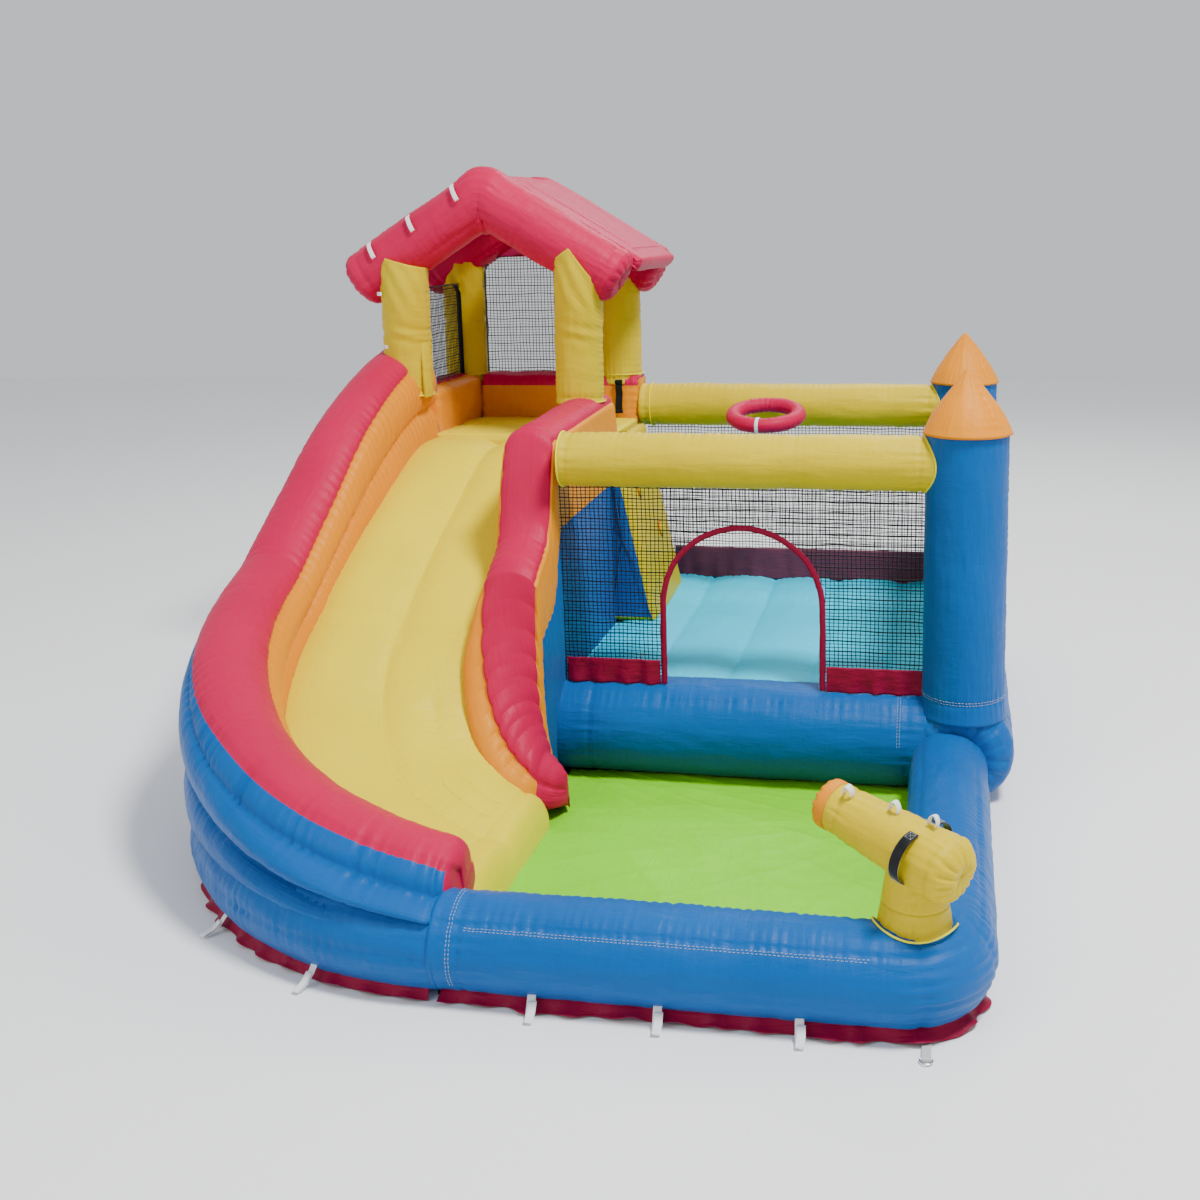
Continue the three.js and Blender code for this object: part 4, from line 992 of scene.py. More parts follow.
for side, y in (("front", ROOF_FRONT), ("back", ROOF_REAR)):
    settle(tube(f"roof_gable_{side}_skin", gable_path(y), gable_radius, [RED], step=0.009,
                ends=("star", "star"),
                seams=(0.13, 0.5, 0.87), bands=(ROOF_LONG / 2, 0.035, -0.035), seed=160 + len(side),
                crease=0.0034, depth=0.0065, shape=mitred), "red_fabric", f"roof_gable_{side}", fill=1.0)
slope_unit = unit(np.array([1.0, 0, SLOPE]))
for side, sign in (("left", -1), ("right", 1)):
    down = np.array([sign * slope_unit[0], 0, -slope_unit[2]])
    out = np.array([sign * slope_unit[2], 0, slope_unit[0]])
    reach = math.hypot(ROOF_HALF, RIDGE_Z - EAVE_Z) + 0.075
    origin = np.array([ROOF_X, ROOF_FRONT + 0.035, RIDGE_Z])
    shape = [(0.004, 0.050), (reach, 0.050), (reach, 0.120), (0.004, 0.120)]
    axes = (origin, down, out, Y_AXIS)
    settle(pad(f"roof_pad_{side}_skin", shape, axes, ROOF_REAR - ROOF_FRONT - 0.07, [RED], rounding=0.026,
               cap=0.02,
               crown=0.0, channels=[0, 0, 1, 0], puff=0.006, seed=171 + sign, depth=0.007, crease=0.003),
           "red_fabric", f"roof_pad_{side}", fill=0.9)
    for k, at in enumerate((0.155, reach - 0.085)):
        line = [origin + down * at + out * 0.1275 + Y_AXIS * v for v in np.linspace(0.10, 0.70, 12)]
        if k == 0:
            line = [origin + down * d + out * 0.1285 + Y_AXIS * 0.125
                    for d in np.linspace(0.09, reach - 0.06, 12)]
        settle(cord_ring(f"roof_pad_seam_{side}_{k}", place(line), 0.0016, PINK, closed=False), "red_fabric")

# ---------- climbing ramp and its holds ----------
RAMP_BACK, RAMP_FOOT, RAMP_LIP, RAMP_TOP, RAMP_LOW = -1.545, -1.330, -1.500, 1.175, 0.371
RAMP_Y = (0.830, 1.480)
settle(pad("climbing_ramp_skin", [(RAMP_BACK, RAMP_LOW), (RAMP_FOOT, RAMP_LOW), (RAMP_LIP, RAMP_TOP),
                                  (RAMP_BACK, RAMP_TOP)], ([0, RAMP_Y[0], 0], X_AXIS, UP, Y_AXIS),
           RAMP_Y[1] - RAMP_Y[0], [YELLOW, BLUE], ends_pick=(1, 1), picks=[0, 0, 0, 1], rounding=0.022,
           cap=0.02,
           crown=0.012, puff=0.012, seed=181, depth=0.008), "yellow_fabric", "climbing_ramp", fill=1.0)
HOLDS = ((1.050, 0.930), (1.270, 0.700))


def ramp_x(z):
    return mix(RAMP_FOOT, RAMP_LIP, (z - RAMP_LOW) / (RAMP_TOP - RAMP_LOW))


ramp_slope = unit(np.array([RAMP_LIP - RAMP_FOOT, 0, RAMP_TOP - RAMP_LOW]))
ramp_out = np.array([ramp_slope[2], 0, -ramp_slope[0]])
for k, (y, z) in enumerate(HOLDS, 1):
    centre = np.array([ramp_x(z), y, z]) + ramp_out * 0.005
    knob = []
    for f in np.linspace(0.02, 1, 14):
        r = 0.0345 * math.sin(f * math.pi / 2) ** 0.7
        h = 0.016 * math.cos(f * math.pi / 2) ** 0.8 + 0.002 * math.sin(f * 9)
        ring_angle = np.linspace(0, 2 * np.pi, 32, endpoint=False)[:, None]
        dent = 1 + 0.06 * np.sin(3 * ring_angle)
        knob.append(centre + r * dent * (np.cos(ring_angle) * Y_AXIS + np.sin(ring_angle) * ramp_slope)
                    + h * ramp_out)
    settle(build(f"climb_hold_{k}_skin", place(np.array(knob)), [YELLOW]), "yellow_fabric",
           f"climb_hold_{k}", fill=0.9)
    edge = np.linspace(0, 2 * np.pi, 40, endpoint=False)[:, None]
    rim = centre + 0.036 * (np.cos(edge) * Y_AXIS + np.sin(edge) * ramp_slope) + ramp_out * 0.002
    settle(cord_ring(f"climb_hold_{k}_rim", place(rim), 0.0028, TAN), "yellow_fabric")

# ---------- bounce floor ----------
SEAM_FIRST, SEAM_GAP = -0.585, 0.309


def bounce_floor():
    x0, x1, y0, y1 = -1.533, -0.020, 0.092, 1.640
    top, crown = 0.360, 0.019
    xs = np.linspace(x0, x1, 150)
    ys = np.linspace(y0, y1, 120)
    x, y = np.meshgrid(xs, ys)
    lane_at = (x - SEAM_FIRST) / SEAM_GAP
    away = np.abs(lane_at - np.round(lane_at)) * SEAM_GAP
    ends = ease((y - y0) / 0.12) * ease((y1 - y) / 0.12)
    z = top + crown * np.abs(np.sin(np.pi * lane_at)) ** 0.65 * (0.7 + 0.3 * ends)
    z += gather(away, y, pitch=0.04, reach=0.07, depth=0.010, seed=201) + groove(away, 0.008, 0.003)
    z += 0.020 * ease((y - 1.16) / 0.24)
    z += 0.0028 * crumple(x / 0.07, y / 0.20, 203)
    z += gather(np.minimum(y - y0, y1 - y), x, pitch=0.035, reach=0.08, depth=0.007, seed=205)
    upper = np.stack([x, y, z], -1)
    lower = np.stack([x[:, ::-1], y[:, ::-1], np.full_like(z, 0.20)], -1)
    return build("bounce_floor_skin", place(np.concatenate([upper, lower[:, ::12]], 1)), [CYAN])


settle(bounce_floor(), "cyan_fabric", "bounce_floor", fill=0.9)

# ---------- pool ----------
POOL_Z = GROUND + POOL_R
POOL_Y, POOL_X0, POOL_CORNER = -1.592, -1.440, 0.140
POOL_RIGHT_X = float((middle_of("pool_tube_right") - ORIGIN)[0])
corner_a = np.linspace(-np.pi / 2, 0, 12)
corner_x = POOL_RIGHT_X - POOL_CORNER + POOL_CORNER * np.cos(corner_a)
corner_y = POOL_Y + POOL_CORNER + POOL_CORNER * np.sin(corner_a)
front_path = [(POOL_X0, POOL_Y, POOL_Z), *zip(corner_x, corner_y, np.full(12, POOL_Z)),
              (POOL_RIGHT_X, -1.385, POOL_Z)]
pool_front = settle(
    tube("pool_front_skin", front_path, POOL_R, [BLUE], step=0.008, ends=("flat", "flat"),
         seams=(0.40, 0.16, 0.62), bands=(0.085, 1.30, 1.44), seed=211, crease=0.0035, depth=0.010),
    "blue_fabric", "pool_tube_front", fill=1.0)
settle(tube("pool_right_skin", [(POOL_RIGHT_X, -1.389, POOL_Z), (POOL_RIGHT_X, 0.018, POOL_Z)], POOL_R,
            [BLUE],
            step=0.009, seams=(0.38, 0.16, 0.62), bands=(0.004,), seed=223, crease=0.0035, depth=0.006),
       "blue_fabric", "pool_tube_right", fill=1.0)


def pool_floor():
    x0, x1, y0, y1 = -1.500, -0.109, -1.530, -0.016
    x, y = np.meshgrid(np.linspace(x0, x1, 190), np.linspace(y0, y1, 210))
    z = np.zeros_like(x)
    for k, (cx, cy, folds, high) in enumerate(((-1.7, 0.15, 26, 0.0065), (0.1, -0.2, 22, 0.0035),
                                               (-0.5, -2.2, 24, 0.0035))):
        angle = np.arctan2(y - cy, x - cx)
        far = np.hypot(y - cy, x - cx)
        ray = np.abs(np.sin(folds * angle + 1.1 * noise(far / 0.25, angle * 3, 230 + k)))
        z += high * (1 - ray) ** 2.5 * noise(far / 0.20, angle * 9, 240 + k)
    z += 0.004 * crumple(x / 0.30, y / 0.10, 251) + 0.0022 * crumple(x / 0.07, y / 0.05, 257)
    z = 0.0135 + z.clip(-0.004, 0.02)
    upper = np.stack([x, y, z], -1)
    lower = np.stack([x[:, ::-1], y[:, ::-1], z[:, ::-1] - 0.0035], -1)
    return build("pool_floor_sheet", place(np.concatenate([upper, lower], 1)), [GREEN])


green = settle(pool_floor(), "green_fabric", "pool_floor")


def ruffle(name, path, drop, seed):
    """The foot skirt: a strip that runs along the foot of the tubes and lies out on the ground in folds."""
    path, s = even(path, 0.008)
    tangent = unit(np.gradient(path, axis=0))
    out = np.cross(tangent, UP)
    f = np.linspace(0, 1, 9)[None, :]
    wave = np.sin(s[:, None] / 0.021 + 3.5 * noise(s / 0.09, 0, seed)[:, None])
    reach = drop * (0.75 + 0.5 * noise(s / 0.06, 4, seed)[:, None])
    u = f * reach + 0.010 * wave * f
    z = 0.034 * (1 - f) ** 1.4 + 0.004 + 0.007 * (1 + wave) * f * (0.4 + noise(s / 0.05, 7, seed)[:, None])
    upper = path[:, None] + u[..., None] * out[:, None] + z[..., None] * UP
    lower = upper[:, ::-1] - [0, 0, 0.0016]
    return build(name, place(np.concatenate([upper, lower], 1)), [MAROON])


foot_line = [(POOL_X0 + 0.02, POOL_Y - 0.080, 0), (POOL_RIGHT_X - POOL_CORNER, POOL_Y - 0.080, 0)]
foot_line += [(POOL_RIGHT_X - POOL_CORNER + (POOL_CORNER + 0.080) * math.cos(a),
               POOL_Y + POOL_CORNER + (POOL_CORNER + 0.080) * math.sin(a), 0)
              for a in np.linspace(-1.57, 0, 9)]
foot_line += [(POOL_RIGHT_X + 0.080, -0.28, 0)]
skirt = settle(ruffle("foot_skirt_pool", foot_line, 0.034, 261), "maroon_fabric")
t_line = np.linspace(0.0, 2.02, 90)
lane_line = foot_line_at(t_line, out=0.085)
slide_skirt = settle(ruffle("foot_skirt_slide", lane_line, 0.026, 263), "maroon_fabric")

# ---------- nets ----------
NET_PITCH, THREAD_THICK, HEAVY_THREAD = 0.0165, 0.0026, 0.0040
ARCH_LEFT, ARCH_RIGHT, ARCH_SPRING, ARCH_TOP = -1.122, -0.517, 0.690, 0.990


def in_arch(x, z):
    cx, half = (ARCH_LEFT + ARCH_RIGHT) / 2, (ARCH_RIGHT - ARCH_LEFT) / 2
    if z <= ARCH_SPRING:
        return abs(x - cx) < half
    return ((x - cx) / half) ** 2 + ((z - ARCH_SPRING) / (ARCH_TOP - ARCH_SPRING)) ** 2 < 1


def net(name, a0, a1, z0, z1, to_point, heavy=HEAVY_THREAD, hole=None, seed=0, pitch=NET_PITCH, node=None):
    """Crossed threads in a rectangle.

    to_point turns (a, z, off) into a point, and hole says where there is no net.
    """
    corners, faces = [], []

    def thread(points, thick):
        half = thick / 2
        path = np.array(points)
        tangent = unit(np.gradient(path, axis=0)) if len(path) > 2 else unit(path[1:] - path[:1])
        side = np.stack([-tangent[:, 1], tangent[:, 0]], -1)
        if len(side) == 1:
            side = np.repeat(side, len(path), 0)
        first = len(corners)
        for p, n in zip(path, side):
            for u, v in ((-half, -half), (half, -half), (half, half), (-half, half)):
                corners.append(to_point(p[0] + n[0] * u, p[1] + n[1] * u, v))
        for i in range(len(path) - 1):
            for k in range(4):
                m = (k + 1) % 4
                faces.append((first + 4 * i + k, first + 4 * i + m, first + 4 * i + 4 + m,
                              first + 4 * i + 4 + k))
        end = first + 4 * (len(path) - 1)
        faces.append((first + 3, first + 2, first + 1, first))
        faces.append((end, end + 1, end + 2, end + 3))

    def run(points, thick):
        piece = []
        for p in points:
            if hole is not None and hole(*p):
                if len(piece) > 1:
                    thread(piece, thick)
                piece = []
            else:
                piece.append(p)
        if len(piece) > 1:
            thread(piece, thick)

    fine = 0.022
    for k, a in enumerate(np.arange(a0 + 0.006, a1, pitch)):
        z = np.arange(z0, z1, fine)
        run([(a + 0.005 * (noise(v / 0.06, k * 0.7, seed) - 0.5), v) for v in np.append(z, z1)], THREAD_THICK)
    level = z0
    count = 0
    while level < z1:
        a = np.append(np.arange(a0, a1, fine), a1)
        thick = heavy if count % 3 == 2 else THREAD_THICK * 0.85
        run([(v, level + 0.006 * (noise(v / 0.09, count * 0.4, seed + 3) - 0.5)) for v in a], thick)
        level += pitch * 0.82
        count += 1
    mesh = bpy.data.meshes.new(name)
    mesh.from_pydata([tuple(p) for p in corners], [], faces)
    mesh.uv_layers.new(name="cloth")
    mesh.materials.append(THREAD)
    piece = bpy.data.objects.new(name, mesh)
    bpy.context.collection.objects.link(piece)
    settle(piece, "netting", *(node or ()))
    return piece


def along_x(y):
    return lambda a, z, off: tuple(place((a, y + off, z)))


def along_y(x):
    return lambda a, z, off: tuple(place((x + off, a, z)))


NET_TOP, NET_FOOT, DOOR_NET_FOOT, WINDOW_FOOT = 1.150, 0.372, 0.378, 1.395
front_net = net("net_front_mesh", -1.520, -0.145, DOOR_NET_FOOT, NET_TOP, along_x(0.0), hole=in_arch,
                seed=301, node=["net_front"])
back_net = net("net_back_mesh", -1.530, -0.145, NET_FOOT, NET_TOP, along_x(ROOM_BACK), seed=305,
               node=["net_back"])
right_net = net("net_right_mesh", 0.145, ROOM_BACK - 0.145, NET_FOOT, NET_TOP, along_y(0.0), seed=309,
                node=["net_right"])
back_window = net("window_net_back_mesh", -2.338, -1.750, WINDOW_FOOT, 1.985, along_x(ROOM_BACK),
                  seed=313, node=["window_net_back"])
left_window = net("window_net_left_mesh", 0.970, 1.545, WINDOW_FOOT, 1.850, along_y(POST_X[0]),
                  seed=317, node=["window_net_left"])

# the round openings of the tower windows are bound in black
BINDING = (0.022, 0.003)
line = [(x, ROOM_BACK - 0.004, z) for x, z in ((-2.335, 1.405), (-2.335, 1.90), (-2.30, 1.965),
                                               (-2.05, 1.978), (-1.81, 1.965), (-1.777, 1.90),
                                               (-1.777, 1.405))]
settle(strip("window_binding_back", place(line), *BINDING, Y_AXIS, BLACK, seed=1), "webbing")
line = [(POST_X[0] + 0.004, y, z) for y, z in ((0.984, 1.405), (0.988, 1.80), (1.03, 1.845), (1.47, 1.845),
                                               (1.526, 1.80), (1.529, 1.405))]
settle(strip("window_binding_left", place(line), *BINDING, X_AXIS, BLACK, seed=2), "webbing")


# ---------- cloth strips on the room: door trim, skirts, band ----------
def panel(name, x_range, z_range, to_point, material, thick=0.0024, folds=0.004, seed=0, fold_pitch=0.03):
    """A flat strip of cloth with upright folds; to_point turns (a, z, off) into a point."""
    cols = max(20, int((x_range[1] - x_range[0]) / 0.006))
    a = np.linspace(*x_range, cols)[:, None]
    z = np.linspace(*z_range, 14)[None, :]
    free = (z_range[1] - z) / (z_range[1] - z_range[0])
    off = folds * (np.sin(a / fold_pitch * 2 + 3 * noise(a / 0.07, z * 3, seed)) * (0.25 + free)
                   + crumple(a / 0.05, z / 0.05, seed))
    front = np.stack([to_point(*v) for v in zip(np.broadcast_to(a, off.shape).ravel(),
                                                np.broadcast_to(z, off.shape).ravel(),
                                                (off - thick).ravel())]).reshape(*off.shape, 3)
    back = np.stack([to_point(*v) for v in zip(np.broadcast_to(a, off.shape).ravel(),
                                               np.broadcast_to(z, off.shape).ravel(),
                                               off.ravel())]).reshape(*off.shape, 3)[:, ::-1]
    return build(name, np.concatenate([front, back], 1), [material])


for side, x_range in (("left", (-1.505, -1.138)), ("right", (-0.502, -0.130))):
    piece = panel(f"net_skirt_{side}_sheet", x_range, (0.370, 0.468), along_x(-0.008), MAROON, folds=0.0055,
                  seed=321 + len(side))
    settle(piece, "maroon_fabric", f"net_skirt_{side}")
band = settle(panel("net_band_back_sheet", (-1.40, -0.135), (0.376, 0.535), along_x(ROOM_BACK - 0.014), BAND,
                    folds=0.004, seed=331), "maroon_fabric", "net_band_back")
arch_x, arch_half = (ARCH_LEFT + ARCH_RIGHT) / 2, (ARCH_RIGHT - ARCH_LEFT) / 2
arch = [(ARCH_LEFT, -0.004, z) for z in np.linspace(0.374, ARCH_SPRING, 12)]
arch += [(arch_x - (arch_half) * math.cos(a), -0.004, ARCH_SPRING + (ARCH_TOP - ARCH_SPRING) * math.sin(a))
         for a in np.linspace(0, math.pi, 40)[1:-1]]
arch += [(ARCH_RIGHT, -0.004, z) for z in np.linspace(ARCH_SPRING, 0.374, 12)]
arch = np.array(arch)
arch[:, 1] += 0.004 * (noise(np.arange(len(arch)) / 5, 0, 341) - 0.5)
arch_path, arch_s = even(arch, 0.006)
arch_tan = unit(np.gradient(arch_path, axis=0))
arch_side = np.cross(arch_tan, Y_AXIS)
wobble = 0.0016 * crumple(arch_s / 0.05, 0, 343)
profile = [(-0.011, -0.003), (-0.004, -0.005), (0.004, -0.005), (0.011, -0.003), (0.011, 0.002),
           (-0.011, 0.002)]
trim_grid = np.stack([arch_path + arch_side * (u + wobble[:, None] * 2) + Y_AXIS * v for u, v in profile], 1)
trim = settle(build("entrance_trim_sheet", place(trim_grid), [MAROON]), "maroon_fabric", "entrance_trim")


def gable_panel():
    """The cloth above the back window, under the rear roof tube, cut with sloping sides."""
    u, f = np.meshgrid(np.linspace(-1, 1, 60), np.linspace(0, 1, 30), indexing="ij")
    base, tip = 1.968, 2.115
    x = ROOF_X + u * mix(0.275, 0.03, f)
    z = base + f * (tip - base)
    y = ROOM_BACK - 0.004 + 0.006 * (crumple(x / 0.08, z / 0.05, 351)
                                     + 0.5 * np.sin(u * 14 + 3 * f) * (1 - f))
    front = np.stack([x, y - 0.0024, z], -1)
    back = np.stack([x, y, z], -1)[:, ::-1]
    return build("gable_panel_back_sheet", place(np.concatenate([front, back], 1)), [PINK])


gable = settle(gable_panel(), "red_fabric", "gable_panel_back")

# ---------- hoop ----------
RING_R, RING_TUBE, DROOP = 0.150, 0.036, math.radians(11)
low_ring, high_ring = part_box("hoop_ring")
ring_mid = (np.array(low_ring) + np.array(high_ring)) / 2 - ORIGIN
toward = np.array([0, math.cos(DROOP), math.sin(DROOP)])
turn = np.linspace(0, 2 * np.pi, 120, endpoint=False)
small = np.linspace(0, 2 * np.pi, 26, endpoint=False)
ring_line = ring_mid + RING_R * (np.cos(turn)[:, None] * X_AXIS + np.sin(turn)[:, None] * toward)
ring_out = unit(ring_line - ring_mid)
ring_up = np.cross(X_AXIS, toward)
dimple = np.abs(np.sin(6 * turn[:, None] / 2)) * noise(turn[:, None] * 3, 0, 361)
r_small = RING_TUBE * (1 - 0.06 * dimple)
pucker = 0.0045 * (1 - np.abs(np.sin(turn[:, None] * 19 + 2 * noise(turn[:, None] * 4, 0, 363)))) ** 1.4
inner = 0.5 - 0.5 * np.cos(small[None, :])
r_small = r_small - pucker * (0.35 + 0.65 * inner)
hoop_grid = (ring_line[:, None] + (r_small * np.cos(small))[..., None] * ring_out[:, None]
             + (r_small * np.sin(small))[..., None] * ring_up)
hoop_grid = np.concatenate([hoop_grid, hoop_grid[:1]])
settle(build("hoop_ring_skin", place(hoop_grid), [RED], closed_ends=False), "red_fabric", "hoop_ring",
       body="hoop",
       fill=1.0)
tie_out = unit(-0.12 * X_AXIS - toward)
tie_ring = ring_mid + tie_out * RING_R
tie = [tie_ring + 0.0365 * (math.cos(a) * tie_out + math.sin(a) * ring_up)
       for a in np.linspace(0, 2 * math.pi, 20)]
settle(strip("hoop_tie", place(tie), 0.016, 0.0025, np.cross(tie_out, ring_up), WHITE, wave=0.001),
       "white_webbing",
       body="hoop")

# ---------- water cannon ----------
CANNON_X, CANNON_Y = -0.132, -1.540
POST_FOOT, POST_TOP, NECK_TOP = 0.180, 0.330, 0.440
REAR, TIP = np.array([-0.055, -1.600, 0.452]), np.array([-0.347, -1.400, 0.517])
REAR_R, TIP_R = 0.096, 0.071
AIM = unit(TIP - REAR)
SIDE = unit(np.array([0.565, 0.825, 0.0]))
RISE = np.cross(SIDE, AIM)
BARREL_LONG = float(np.linalg.norm(TIP - REAR))

settle(tube("cannon_post_skin", [(CANNON_X, CANNON_Y, POST_FOOT), (CANNON_X, CANNON_Y, POST_TOP)],
            lambda f: mix(0.112, 0.090, f) + 0.006 * math.exp(-f * 9), [YELLOW], step=0.006, up=Y_AXIS,
            seams=(0.0,), bands=(0.055,), seed=401, crease=0.003, depth=0.006), "yellow_fabric",
       "cannon_post",
       fill=1.0)
edge = np.linspace(0, 2 * np.pi, 60, endpoint=False)
across_tube = CANNON_X + 0.1125 * np.cos(edge)
back_tube = CANNON_Y + 0.1125 * np.sin(edge)
on_tube = POOL_Z + np.sqrt(np.maximum(POOL_R**2 - (back_tube - POOL_Y).clip(-POOL_R, POOL_R) ** 2, 0))
foot_ring = place(np.column_stack([across_tube, back_tube, np.maximum(on_tube, 0.205) + 0.002]))
settle(cord_ring("cannon_post_piping", foot_ring, 0.003, PIPING), "yellow_fabric")
settle(tube("cannon_neck_skin", [(CANNON_X, CANNON_Y, POST_TOP + 0.0005), (CANNON_X, CANNON_Y, NECK_TOP)],
            lambda f: mix(0.090, 0.074, f), [YELLOW], step=0.006, up=Y_AXIS, seams=(0.0,), seed=403,
            crease=0.0025,
            depth=0.005), "yellow_fabric", "cannon_neck", body="cannon_neck", fill=1.0)
settle(tube("cannon_barrel_skin", [REAR, TIP], lambda f: mix(REAR_R, TIP_R, f) - 0.001, [YELLOW], step=0.006,
            ends=("star", "flat"), round_end=0.66, seams=(0.5, 0.06), bands=(0.006, -0.036), seed=407,
            crease=0.0032, depth=0.006),
       "yellow_fabric", "cannon_barrel", body="cannon", fill=1.0)
settle(tube("cannon_tip_skin", [TIP + AIM * 0.0005, TIP + AIM * 0.024], TIP_R + 0.0005, [ORANGE], step=0.005,
            ends=("flat", "star"), seed=409, crease=0.002), "orange_fabric", "cannon_tip", body="cannon",
       fill=1.0)

GRIP_AT, GRIP_WIDE, GRIP_THICK, GRIP_LIFT = 0.080, 0.029, 0.003, 0.028
grip_r = mix(REAR_R, TIP_R, GRIP_AT / BARREL_LONG)
grip_turn = np.radians(np.linspace(60, -36, 40))
grip_off = grip_r + 0.002 + GRIP_LIFT * np.sin(np.linspace(0, math.pi, 40))
for side, sign in (("left", -1), ("right", 1)):
    way = np.cos(grip_turn)[:, None] * SIDE * sign + np.sin(grip_turn)[:, None] * RISE
    path = REAR + AIM * GRIP_AT + way * grip_off[:, None]
    handle = strip(f"cannon_handle_{side}_strap", place(path), GRIP_WIDE, GRIP_THICK, AIM, BLACK, step=0.003)
    settle(handle, "webbing", f"cannon_handle_{side}", body="cannon")
    crosses = []
    for first in (1, 33):
        a, b = path[first], path[first + 5]
        out = way[first]
        corner = [a - AIM * 0.009, a + AIM * 0.009, b + AIM * 0.009, b - AIM * 0.009]
        corner = [c + out * 0.0022 for c in corner]
        crosses += [([corner[i], corner[(i + 1) % 4]], out) for i in range(4)]
        crosses += [([corner[0], corner[2]], out), ([corner[1], corner[3]], out)]
    seams = [([place(p) for p in line], out) for line, out in crosses]
    sewn = stitches(f"cannon_handle_{side}_stitches", seams, STITCH, long=0.0028, gap=0.0016, wide=0.0010)
    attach(sewn, "cannon")
for k, (d, lean) in enumerate(((0.315, 0.35), (0.175, 0.1), (0.065, -0.1))):
    r = mix(REAR_R, TIP_R, d / BARREL_LONG)
    out = unit(RISE + lean * SIDE * -1)
    loop = hose_loop(f"cannon_loop_{k}", REAR + AIM * d + out * r, out, AIM, size=0.014, wide=0.019,
                     tall=2.0, seed=411 + k)
    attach(loop, "cannon")

# ---------- webbing: roof loops, post loops, ground loops, buckle ----------
roof_down = np.array([-slope_unit[0], 0, -slope_unit[2]])
roof_out = np.array([-slope_unit[2], 0, slope_unit[0]])
for k, d in enumerate((0.075, 0.315, 0.530)):
    face = unit(roof_out * 0.52 - Y_AXIS * 0.85)
    at = np.array([ROOF_X, ROOF_FRONT, RIDGE_Z]) + roof_down * d + face * ROOF_R
    round_tube = unit(np.cross(face, roof_down))
    hose_loop(f"roof_loop_{k}", at, face, round_tube, size=0.045, wide=0.020, tall=0.3, seed=421 + k)
for k, z in enumerate((1.600, 1.835)):
    face = unit(np.array([-0.72, -0.70, 0]))
    at = np.array([POST_X[0], POST_FRONT - 0.064 * float(ease((z - 1.62) / 0.34)), z]) + face * POST_R
    hose_loop(f"post_loop_{k}", at, face, np.cross(face, UP), size=0.022, wide=0.016, seed=431 + k)
GROUND_LOOP_X = (-1.150, -0.800, -0.420)
for k, x in enumerate(GROUND_LOOP_X):
    y = POOL_Y - POOL_R * 0.72
    face = unit(np.array([0, -0.80, -0.60]))
    line = [(x - 0.004, y, 0.052), (x - 0.002, y - 0.020, 0.030), (x, y - 0.040, 0.012),
            (x + 0.001, y - 0.056, 0.005),
            (x + 0.003, y - 0.072, 0.007), (x + 0.004, y - 0.060, 0.014), (x + 0.004, y - 0.040, 0.022),
            (x + 0.002, y - 0.016, 0.040)]
    settle(strip(f"ground_loop_{k}", place(line), 0.024, 0.002, X_AXIS, WHITE, wave=0.002, seed=441 + k),
           "white_webbing")
for k, t in enumerate((1.62, 1.84)):
    spot, ahead = foot_line_at(np.array([t, t + 0.01]))
    out = np.cross(unit(ahead - spot), UP)
    line = [spot + out * d + UP * z for d, z in ((0.100, 0.060), (0.122, 0.034), (0.150, 0.012),
                                                 (0.172, 0.006),
                                                 (0.190, 0.008), (0.176, 0.013), (0.150, 0.020),
                                                 (0.126, 0.040))]
    settle(strip(f"slide_ground_loop_{k}", place(line), 0.022, 0.002, ahead - spot, WHITE, wave=0.002,
                 seed=451 + k),
           "white_webbing")

STRAP_X, STRAP_Y = -1.640, LOW_WALL_Y - 0.024
strap_line = [(STRAP_X, STRAP_Y + 0.006, 1.376), (STRAP_X, STRAP_Y - 0.004, 1.350),
              (STRAP_X + 0.001, STRAP_Y, 1.30),
              (STRAP_X - 0.002, STRAP_Y - 0.006, 1.25), (STRAP_X, STRAP_Y + 0.002, 1.213)]
settle(strip("wall_strap", place(strap_line), 0.034, 0.003, X_AXIS, BLACK, wave=0.003, seed=461), "webbing")
for k, z in enumerate((1.366, 1.222)):
    outline = [(-0.022, -0.012), (0.022, -0.012), (0.022, 0.012), (-0.022, 0.012)]
    buckle = pad(f"wall_buckle_{k}", outline, ([STRAP_X, STRAP_Y + 0.001, z], X_AXIS, UP, -Y_AXIS), 0.012,
                 [BLACK],
                 rounding=0.005, cap=0.004, crown=0.001, puff=0.0, seed=463, step=0.004, crease=0.0,
                 depth=0.0)
    settle(buckle, "webbing")

# ---------- inflation sleeve ----------
SLEEVE_X, SLEEVE_START, SLEEVE_END, SLEEVE_R = -1.200, 1.760, 2.055, 0.096


def sleeve():
    """A limp fabric tube, open at its end, that lies on the ground behind the back base tube."""
    s = np.linspace(SLEEVE_START, SLEEVE_END, 44)
    a = np.linspace(0, 2 * np.pi, 84, endpoint=False)[None, :]
    f = ((s - SLEEVE_START) / (SLEEVE_END - SLEEVE_START))[:, None]
    slump = 1 - 0.14 * ease(f / 0.8)
    fold = 0.004 * np.sin(11 * a + 5 * f + 4 * noise(f * 3, a, 471)) * (0.3 + f)
    fold = fold + 0.003 * crumple(f * 7, a * 1.6, 473)
    outer_r = SLEEVE_R - 0.004 + fold
    wide, tall = outer_r, outer_r * slump
    z = (tall * np.cos(a) + SLEEVE_R * slump).clip(GROUND + 0.004, None)
    y = np.broadcast_to(s[:, None], z.shape)
    outer = np.stack([SLEEVE_X + wide * np.sin(a), y, z], -1)
    inner_wide, inner_tall = wide - 0.003, tall - 0.003
    inner_z = (inner_tall * np.cos(a) + SLEEVE_R * slump).clip(GROUND + 0.0065, None)
    inner = np.stack([SLEEVE_X + inner_wide * np.sin(a), y, inner_z], -1)[::-1]
    return build("inflation_sleeve_sheet", place(np.concatenate([outer, inner, outer[:1]])), [BLUE],
                 closed_ends=False)


limp = settle(sleeve(), "blue_fabric", "inflation_sleeve")

